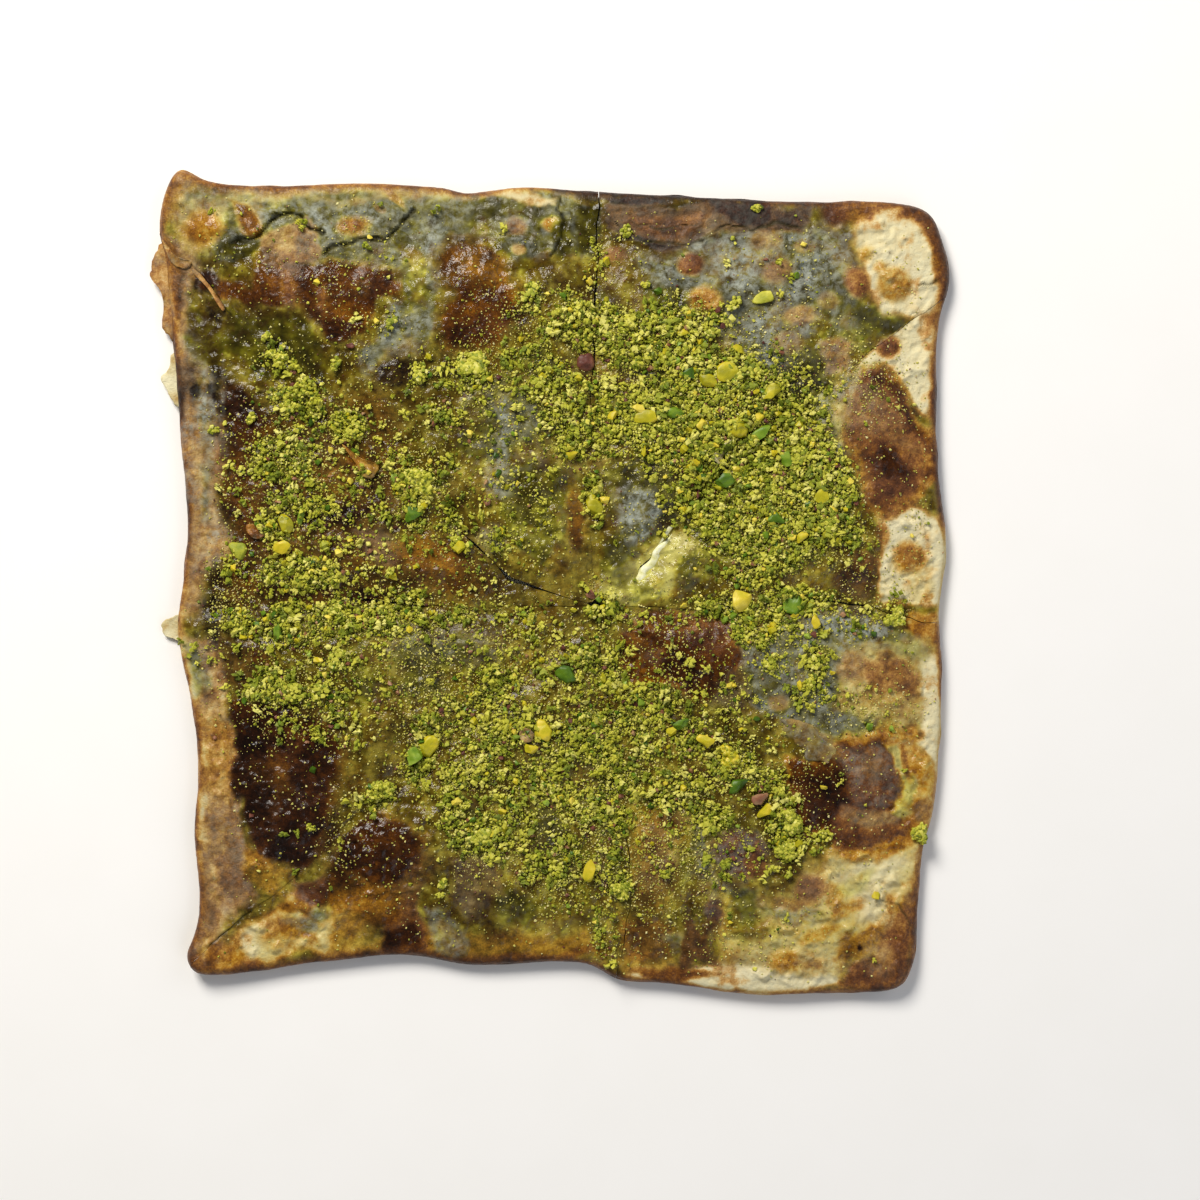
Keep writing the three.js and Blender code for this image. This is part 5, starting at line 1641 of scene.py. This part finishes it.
def leaf(name, above_top, above_floor, curl, outline):
    """A thin curled sheet. The height that doesn't hold for it is None."""
    loop = smooth_loop(outline, 9)
    after = np.roll(loop, -1, 0)
    if (loop[:, 0] * after[:, 1] - after[:, 0] * loop[:, 1]).sum() < 0:
        loop = loop[::-1]
    middle, count = loop.mean(0), len(loop)
    ragged = 1 + (0.14 * rough(*loop.T, 4, 64, 3) + 0.06 * noise(*loop.T, 1.3, 70))[:, None]
    shares = np.linspace(0, 1, LEAF_RINGS + 1)[1:, None, None]
    plan = np.vstack([middle[None], (middle + (loop - middle) * ragged * shares).reshape(-1, 2)])
    x, y = plan.T
    outer = np.concatenate([[0], np.repeat(shares.ravel(), count)])
    rests_on = above_floor if above_top is None else top_height(x, y) + above_top
    z = rests_on + 0.5 * rough(x, y, 5, 65, 3) + curl * outer**3 * (0.4 + noise(x, y, 6, 66))
    top = np.column_stack([x, y, z])
    ring = 1 + np.arange(LEAF_RINGS)[:, None] * count + np.arange(count)
    turned = np.roll(ring, -1, 1)
    up = [np.stack([np.zeros(count, int), ring[0], turned[0]], -1)]
    for near, near_next, far, far_next in zip(ring, turned, ring[1:], turned[1:]):
        up += [np.stack([near, far, far_next], -1), np.stack([near, far_next, near_next], -1)]
    up = np.vstack(up)
    rim, rim_next, below = ring[-1], turned[-1], len(top)
    walls = [np.stack([rim, rim + below, rim_next + below], -1),
             np.stack([rim, rim_next + below, rim_next], -1)]
    return mesh_from(name, np.vstack([top, top - (0, 0, LEAF_THICK)]),
                     np.vstack([up, up[:, ::-1] + below, *walls]))


# %% The leaves
leaves = []
for name, (state, above_top, above_floor, curl, outline) in LEAVES.items():
    piece = leaf(name, above_top, above_floor, curl, table(outline))
    x, y, _ = points_of(piece).T
    for mask, target in zip(MASKS, STATES[state]):
        set_attribute(piece, mask, np.clip(target + 0.25 * rough(x, y, 5, 67, 3), 0, 1))
    piece.data.materials.append(FRIED_YUFKA)
    piece.data.shade_smooth()
    leaves.append(piece)
    print(name, len(piece.data.polygons), "faces, open edges", open_edges(piece))

# %% [markdown]
# ## Bits of nut between the kernels and the crumbs
# Some eighty bits and little heaps, 2 to 9 mm long, are too small for solids of their own
# but large enough to be seen one by one, so each is put in its place. A chopped bit is a
# small ball, cut by flat planes as the kernels are, roughened and drawn out. A lime one is
# a heap: an oval full of crooked grains. Loose grains also go on the clumps' perches.
# Every colour is one mesh.

# %% Bits by colour: place, length, width and turn
BITS = {
    "lime": table("""
    -94,-40,8,7,0 -84,-40,9,6,80 -78,-28,8,6,70 -90,72,9,7,20 -95,65,6,5,0 -72,56,8,6,40
    77,139,3.4,2.6,0 -34,15,6,5,60 -50,27,8,5,0 -47,77,8,5,80 -7,107,8,6,60 104,22,6,4,30
    28.5,130,5,4,70 -46,-67,6,5,0 3,-105,6,4,20 85,-77,6,5,40 101,-93,7,5,10 -88,-90,3.4,2.6,0
    -79,81,5,4,80 -58,96,6,3.4,60 -104,91,4,3,20 81,-30,5,4,0 97,-37,7,4,10 -124,57,4,3,0
    -110,61,5,3,60 98,-29,7,5,80 -65,-78,8,6,30 -39,-111,4,3.4,60 43,-107,5,3.4,0 16,-10,6,5,0
    36,110,3.4,2.6,0 68,103,6,4,30 60,92,7,5,20 12,102,6,4,40 75,52,6,5,60 92,48,6,5,20 22,56,6,5,10"""),
    "yellow": table("""
    58,-58,5.4,4.6,0 80,-84,5,4,30 -98.5,14,6,5,50 98.5,-14,5,4,60 71,-6,7.5,5.5,80
    -7,-61,4.6,3.6,20 15,-105,7.5,4.6,75 -17,-84,3.4,3,0 121,-115,3.6,2.6,0 57,59,4.4,3.4,20
    78,61.5,4.6,3.6,10 35,49,5.4,2.4,80 8,47,5,3.6,20 82,70,6,5,60 -34,13,5,4.4,0 70,86,4.6,3,150
    49,92,3.4,2.6,0 93,17,4.4,3.4,70 24,62,4,3,60 100,32,5,4,20 101,-75,2.8,2,0"""),
    "green": table("""
    -92,25,6,2.6,80 49,-52,5,4.4,0 118.5,-53,2.8,2.2,80 84,24,5,4,0 65,38,6,5,20 78,55,8,3.4,30
    52,77,4.4,3.6,30 -50,26,7,4.6,10 -100,-17,6,3.4,70 -50,-64,6,5,40 40,108,4,3,0 88,46,5,4,50"""),
    "purple": table("""
    78,-79,5,4,20 15.5,-4,3.4,2.6,0 28,-12.4,2.6,2,30 -110,-86,2,1.6,0 -73,88,2.4,2,0 55,33,3,2.2,60
    64,95,2.2,1.8,0 86,40,2.2,1.8,20 90,62,2,1.6,0 -23,30,2.6,2,60 -100,30,2.4,1.8,0"""),
}
BIT_TALL, BIT_SINK = 0.62, 0.3  # as shares of a bit's width
BIT_GROWTH = 1.4  # a bit starts this much larger, because the flat cuts take some off
print({skin: len(places) for skin, places in BITS.items()})


# %% Balls, grains, heaps and bits
def ball_mesh(subdivisions):
    """Corners and triangles of a ball 1 mm across."""
    shape = bmesh.new()
    bmesh.ops.create_icosphere(shape, subdivisions=subdivisions, radius=0.5)
    points = np.array([corner.co for corner in shape.verts])
    faces = np.array([[corner.index for corner in face.verts] for face in shape.faces])
    shape.free()
    return points, faces


def grains_at(middles, sizes):
    """Points, triangles and tints of crooked little balls at these middles, in mm."""
    points, faces = ball_mesh(1)
    crooked = points[None] + chance.uniform(-0.14, 0.14, (len(middles), len(points), 3))
    all_points = (crooked * sizes[:, None, None] + middles[:, None]).reshape(-1, 3)
    firsts = np.arange(len(middles))[:, None, None] * len(points)
    tints = np.repeat(np.clip(chance.normal(0.5, 0.22, len(middles)), 0, 1), len(points))
    return all_points, (faces[None] + firsts).reshape(-1, 3), tints


def laid(points, x, y, length, width, turn):
    """Stretches and turns points in a ball 1 mm across, and lays them on the skin."""
    points = points * (length, width, BIT_TALL * width)
    cos, sin = math.cos(math.radians(turn)), math.sin(math.radians(turn))
    points[:, :2] = points[:, :2] @ np.array([[cos, sin], [-sin, cos]]) + (x, y)
    points[:, 2] += top_height(np.array(x), np.array(y)) + BIT_SINK * width
    return points


def heap(x, y, length, width, turn):
    """A clump of ground nut: grains packed in an oval, lying on the skin."""
    count = int(length * width * 1.1) + 12
    middles = chance.normal(0, 1, (count, 3))
    middles /= np.linalg.norm(middles, axis=1, keepdims=True)
    middles *= 0.5 * chance.uniform(0, 1, (count, 1)) ** 0.4
    return grains_at(laid(middles, x, y, length, width, turn), chance.uniform(0.8, 1.9, count))


def bit(x, y, length, width, turn):
    """One chopped bit: a ball cut by flat planes and roughened."""
    points, faces = ball_mesh(3)
    points = chopped(points, 10, (0.42, 0.8))
    bumps, grains = (
        np.stack([noise(points[:, k] + to_x, points[:, k - 1] + to_y, size, seed + k)
                  for k in range(3)], 1)
        for to_x, to_y, size, seed in ((x, y, 0.45, 68), (y, x, 0.16, 78)))
    points = points + 0.07 * bumps + 0.04 * grains
    points = laid(points, x, y, BIT_GROWTH * length, BIT_GROWTH * width, turn)
    return points, faces, np.clip(chance.uniform(0.3, 0.8) + 0.25 * noise_3d(points, 1.5, 69), 0, 1)


# %% One mesh for each colour
def joined(parts):
    """Points and triangles of several shapes as those of one."""
    counts = np.cumsum([0] + [len(points) for points, *_ in parts])
    return (np.vstack([points for points, *_ in parts]),
            np.vstack([faces + count for (_, faces, *_), count in zip(parts, counts)]))


BIT_SHARP_ANGLE = 28
bits = []
for skin, places in BITS.items():
    made = [(heap if skin == "lime" else bit)(*place) for place in places]
    if skin == "lime":
        made += [grains_at(middles, chance.uniform(0.7, 1.6, len(middles))) for middles in perches]
    points, faces = joined(made)
    points[:, 2] = pressed_below(points[:, 2], *NUT_CEILING)
    piece = mesh_from(f"pistachio_bits_{skin}", points, faces)
    set_attribute(piece, "tint", np.concatenate([tint for _, _, tint in made]))
    piece.data.materials.append(NUTS[skin])
    piece.data.set_sharp_from_angle(angle=math.radians(BIT_SHARP_ANGLE))
    bits.append(piece)
print(sum(len(piece.data.polygons) for piece in bits), "faces of bits")

# %% [markdown]
# ## Crumbs by Geometry Nodes
# The strewn nuts are tens of thousands of crumbs, from flour up to a few millimetres.
# Placing them is a job for Geometry Nodes: points are scattered over a bed that follows
# the top, thick where the map of handfuls says, and each point gets one of eight crooked
# little shapes, turned and stretched at random. One function builds the tree for each of
# three shapes, a grain of 8 faces, one of 20, and a cluster of seven small grains stuck
# together. The tree's inputs set how large the crumbs are, how many, and how they pile up.

# %% A bed that follows the top
BED_ROWS, BED_INSETS = 110, (1.5, 0.8)
KERNEL_SHADOW = 3.0  # crumbs keep off a kernel by about this, mm

beds = []
for name in SLICES:
    shares = fan_shares(name, BED_ROWS, 1, SLICE_START, BED_INSETS)
    place_xy = plan_of(name, *fan_places(shares), AS_SEEN)
    beds.append((np.column_stack([place_xy, top_height(*place_xy.T)]), fan_faces(BED_ROWS)))
bed = mesh_from("bed", *joined(beds))
bed_x, bed_y, _ = points_of(bed).T
heavy = read(STREWN, bed_x, bed_y)
bare = [(x, y, (length + width) / 4) for skin in ("yellow", "green", "purple")
        for x, y, length, width, _ in BITS[skin]]
bare += [(*points_of(piece)[:, :2].mean(0), KERNEL_SHADOW)
         for node, piece in nuts.items() if node.startswith("kernel")]
for x, y, reach in bare:  # crumbs roll off the large bits
    heavy = heavy * smooth(np.hypot(bed_x - x, bed_y - y), reach * 0.5, reach * 1.15)
inset = read(INSET, bed_x, bed_y)
patchy = 0.4 + 2.4 * smooth(rough(bed_x, bed_y, 24, 95, 4), -0.1, 0.6)
halo = read(HALO, bed_x, bed_y) * (1 - heavy**0.7)
for name, values in (
        ("heavy", np.maximum(heavy, 0.01 * smooth(inset, 2, 24) * patchy)),
        ("dusty", heavy**0.7), ("thick", heavy**2.2),
        ("halo", (0.09 + 0.5 * halo) * patchy * smooth(inset, 1, 16))):
    set_attribute(bed, name, values)
print("bed:", len(bed.data.polygons), "faces")


# %% Crooked little shapes
VARIANTS, IN_CLUSTER = 8, 7  # crooked shapes to pick from, and balls in a cluster
CLUSTER = IN_CLUSTER * 8  # a cluster's faces: its balls have eight each
# lowest, highest and seed of a corner's push, and of a ball's place and girth in a cluster
RANGES = ((-0.17, 0.17, 40), (-0.36, 0.36, 60), (0.32, 0.62, 80))


def crooked_shapes(tree, faces):
    """Every variant as an instance, with its corners pushed about at random."""
    shapes = add(tree, "GeometryNodeJoinGeometry")
    for variant in range(VARIANTS):
        push, *packing = (
            add(tree, "FunctionNodeRandomValue",
                {0: (low,) * 3, 1: (high,) * 3, "Seed": seed + variant},
                data_type="FLOAT_VECTOR")
            for low, high, seed in RANGES[:3 if faces == CLUSTER else 1])
        if faces == 20:
            ball = add(tree, "GeometryNodeMeshIcoSphere", {"Radius": 0.5, "Subdivisions": 1})
        else:
            ball = add(tree, "GeometryNodeMeshUVSphere",
                       {"Segments": 4, "Rings": 2, "Radius": 0.5})
        crooked = add(tree, "GeometryNodeSetPosition", {"Geometry": ball, "Offset": push})
        if faces == CLUSTER:
            packed, girths = packing
            stuck = add(tree, "GeometryNodePoints", {"Count": IN_CLUSTER, "Position": packed})
            stuck = add(tree, "GeometryNodeInstanceOnPoints",
                        {"Points": stuck, "Instance": crooked, "Rotation": packed,
                         "Scale": girths})
            crooked = add(tree, "GeometryNodeRealizeInstances", {"Geometry": stuck})
        single = add(tree, "GeometryNodeGeometryToInstance", {"Geometry": crooked})
        tree.links.new(single.outputs[0], shapes.inputs[0])
    return shapes


print(VARIANTS, "crooked shapes, the largest with", CLUSTER, "faces")

# %% The strewing tree
PORTS = {"Geometry": "Geometry", "Density name": "String", "Crumbs per square metre": "Float",
         "Smallest": "Float", "Largest": "Float", "Pile height": "Float", "Seed": "Int",
         "Material": "Material"}
RANDOM_SOCKETS = {"FLOAT": (2, 3, 1), "FLOAT_VECTOR": (0, 1, 0), "INT": (4, 5, 2)}
DRAWS = (  # what is drawn by chance for each crumb: kind, lowest and highest
    ("size", "FLOAT", 0.0, 1.0), ("rise", "FLOAT", 0.0, 1.0),
    ("turn", "FLOAT_VECTOR", (0.0,) * 3, (2 * math.pi,) * 3),
    ("stretch", "FLOAT_VECTOR", (0.72,) * 3, (1.28,) * 3),
    ("variant", "INT", 0, VARIANTS - 1), ("tint", "FLOAT", 0.05, 0.95))


def strewing_tree(faces):
    """Scatters crumbs over a mesh, by a named density: 8, 20 or, for a cluster, 56 faces."""
    tree = bpy.data.node_groups.new(f"strew_{faces}", "GeometryNodeTree")
    ports = {name: tree.interface.new_socket(
        name, in_out="INPUT", socket_type=f"NodeSocket{kind}").identifier
        for name, kind in PORTS.items()}
    tree.interface.new_socket("Geometry", in_out="OUTPUT", socket_type="NodeSocketGeometry")
    given = add(tree, "NodeGroupInput").outputs
    drawn = {}
    for seed, (use, kind, lowest, highest) in enumerate(DRAWS, 1):
        from_socket, to_socket, out_socket = RANDOM_SOCKETS[kind]
        own_seed = add(tree, "FunctionNodeIntegerMath", (given["Seed"], seed), operation="ADD")
        drawn[use] = add(tree, "FunctionNodeRandomValue",
                         {from_socket: lowest, to_socket: highest, "Seed": own_seed},
                         data_type=kind).outputs[out_socket]

    density, piled = (add(tree, "GeometryNodeInputNamedAttribute", {"Name": name},
                          data_type="FLOAT") for name in (given["Density name"], "thick"))
    amount = add(tree, "ShaderNodeMath", (density, given["Crumbs per square metre"]),
                 operation="MULTIPLY")
    points = add(tree, "GeometryNodeDistributePointsOnFaces",
                 {"Mesh": given["Geometry"], "Density": amount, "Seed": given["Seed"]})
    small = add(tree, "ShaderNodeMath", (drawn["size"], 1.7), operation="POWER")  # few are large
    size = add(tree, "ShaderNodeMapRange", {"Value": small, "To Min": given["Smallest"],
                                            "To Max": given["Largest"]})
    rise = add(tree, "ShaderNodeMath", (piled, drawn["rise"]), operation="MULTIPLY")
    rise = add(tree, "ShaderNodeMath", (rise, given["Pile height"]), operation="MULTIPLY")
    rise = add(tree, "ShaderNodeMath", (given["Largest"], 0.16, rise), operation="MULTIPLY_ADD")
    offset = add(tree, "ShaderNodeCombineXYZ", {"Z": rise})
    raised = add(tree, "GeometryNodeSetPosition", {"Geometry": points, "Offset": offset})
    stretch = add(tree, "ShaderNodeVectorMath", {0: drawn["stretch"], "Scale": size},
                  operation="SCALE")
    crumbs = add(tree, "GeometryNodeInstanceOnPoints",
                 {"Points": raised, "Instance": crooked_shapes(tree, faces),
                  "Pick Instance": True, "Instance Index": drawn["variant"],
                  "Rotation": drawn["turn"], "Scale": stretch})
    tinted = add(tree, "GeometryNodeStoreNamedAttribute",
                 {"Geometry": crumbs, "Name": "tint", "Value": drawn["tint"]},
                 data_type="FLOAT", domain="INSTANCE")
    real = add(tree, "GeometryNodeRealizeInstances", {"Geometry": tinted})
    dressed = add(tree, "GeometryNodeSetMaterial",
                  {"Geometry": real, "Material": given["Material"]})
    add(tree, "NodeGroupOutput", {"Geometry": dressed})
    return tree, ports


STREW = {faces: strewing_tree(faces) for faces in (8, 20, CLUSTER)}
print({faces: len(tree.nodes) for faces, (tree, _) in STREW.items()}, "nodes")


# %% Grades of crumb
PER_MM2 = 1e6  # crumbs on a square millimetre, as crumbs per square metre
GRADES = (  # name, faces, density name, per mm2, smallest and largest mm, pile mm, skin
    ("flour", 8, "dusty", 0.9, 0.3, 0.9, 0.9, "flour"),
    ("specks", 8, "halo", 1.2, 0.3, 0.95, 0.1, "flour"),
    ("fine", 8, "heavy", 1.2, 0.5, 1.1, 1.0, "lime"),
    ("middling", 20, "heavy", 0.34, 0.9, 1.9, 1.1, "lime"),
    ("clusters", CLUSTER, "heavy", 0.17, 1.7, 4.6, 0.9, "lime"),
    ("yellow", 20, "heavy", 0.02, 1.2, 3.4, 0.9, "yellow"),
    ("green", 20, "heavy", 0.02, 1.0, 2.8, 0.9, "green"),
    ("skins", 20, "heavy", 0.03, 0.8, 2.2, 1.0, "purple"),
    ("chaff", 8, "halo", 0.1, 0.3, 0.9, 0.1, "purple"),
)


def strew(name, faces, inputs):
    """Runs the strewing tree over the bed, and keeps what falls as a plain mesh."""
    tree, ports = STREW[faces]
    modifier = bed.modifiers.new("strew", "NODES")
    modifier.node_group = tree
    for port, value in inputs.items():
        modifier[ports[port]] = value
    made = linked(name, finished_mesh(bed))
    made.data.name = name
    points = points_of(made)
    points[:, 2] = pressed_below(points[:, 2], *NUT_CEILING)
    set_points(made.data, points)
    made.data.update()
    count = len(made.data.polygons)
    print(name, count, "faces,", count // faces, "crumbs")
    return made


crumbs = [
    strew(f"pistachio_{name}", faces, {
        "Density name": density, "Crumbs per square metre": per_area * PER_MM2,
        "Smallest": small * MM, "Largest": large * MM, "Pile height": pile * MM,
        "Seed": number * 50 + 3, "Material": NUTS[skin]})
    for number, (name, faces, density, per_area, small, large, pile, skin) in enumerate(GRADES)]
bpy.data.objects.remove(bed)
print(since_start())

# %% [markdown]
# ## Join the frame
# Every piece rides on the frame's one body. A slice stands for the plain slice of the
# same name, and so do its cream and the nuts.

# %% Ride and replace
for name in SLICES:
    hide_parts(f"yufka_{name}")
    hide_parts(f"cream_{name}")
for node, piece in nuts.items():
    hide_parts(node)
pieces = [*yufka.values(), *creams.values(), *leaves, *nuts.values(), *bits, *crumbs]
for piece in pieces:
    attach(piece, "root")
print(len(pieces), "pieces ride on the body")

# %% [markdown]
# ## Floor, light and camera
# A katmer is looked at from straight above. The floor is plain and pale. A broad soft
# light from the upper left gives the blisters and crumbs their small shadows, two weaker
# ones from the right keep the shadows open, and the dim surroundings stop the butter from
# turning grey: a glossy dark place shows whatever is above it.

# %% Floor: a painted board, matt and almost even
FLOOR_SIZE = 4.0  # m
board, tree, shader, place = new_material("painted_board")
speckle = add(tree, "ShaderNodeTexNoise", {"Vector": place, "Scale": per_mm(30)})
colour = add(tree, "ShaderNodeValToRGB", {"Fac": speckle}, stops="0 #f2f1ee 1 #f5f4f2")
tree.links.new(colour.outputs[0], shader.inputs["Base Color"])
shader.inputs["Roughness"].default_value = 0.9
floor_corners = table("-1,-1,0 1,-1,0 1,1,0 -1,1,0") * FLOOR_SIZE / 2 / MM
floor = mesh_from("floor", floor_corners, np.array([(0, 1, 2), (0, 2, 3)]))
floor.data.materials.append(board)
print("floor:", FLOOR_SIZE, "m")

# %% Lights
AIM = np.array([0.0, 0.0, 0.006])  # about the middle of the box, in metres


def soft_light(name, azimuth, elevation, distance, size, power, colour):
    """A square area light that looks at the katmer. Azimuth 0 is north, 90 is east."""
    a, e = math.radians(azimuth), math.radians(elevation)
    away = np.array([math.sin(a) * math.cos(e), math.cos(a) * math.cos(e), math.sin(e)])
    light = bpy.data.lights.new(name, "AREA")
    light.energy, light.size, light.color = power, size, linear(colour)[:3]
    made = linked(name, light)
    made.location = AIM + away * distance
    made.rotation_euler = Vector(-away).to_track_quat("-Z", "Y").to_euler()


soft_light("window", -30, 42, 1.6, 0.6, 33, "#fffaf2")
soft_light("bounce", 140, 34, 1.8, 1.4, 9, "#f4f7ff")
soft_light("wall", 60, 30, 1.8, 1.2, 5, "#f4f7ff")
world = bpy.data.worlds.new("room")
world.use_nodes = True
background = world.node_tree.nodes["Background"]
background.inputs["Color"].default_value = linear("#eef0f4")
background.inputs["Strength"].default_value = 0.16
bpy.context.scene.world = world
bpy.context.scene.view_settings.view_transform = "Standard"
print("lights:", [light.name for light in bpy.data.lights])

# %% Camera
CAMERA_ABOVE = (0.01887, -0.0061)  # where the camera stands, in metres
VIEW_WIDTH, VIEW_HEIGHT, SENSOR = 0.444, 0.9, 36  # m, m and mm
CROWN = 0.008  # about how high the top is, in metres, where the view is this wide
camera = bpy.data.cameras.new("above")
camera.sensor_width = SENSOR
camera.lens = SENSOR * VIEW_HEIGHT / VIEW_WIDTH
camera.clip_end = 10
eye = linked("above", camera)
eye.location = (*CAMERA_ABOVE, VIEW_HEIGHT + CROWN)
bpy.context.scene.camera = eye
print("lens:", round(camera.lens, 1), "mm")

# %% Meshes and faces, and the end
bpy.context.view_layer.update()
shown = [o for o in bpy.data.objects if o.type == "MESH" and not o.hide_render]
print(len(shown), "meshes,", sum(len(o.data.polygons) for o in shown), "faces,", since_start())
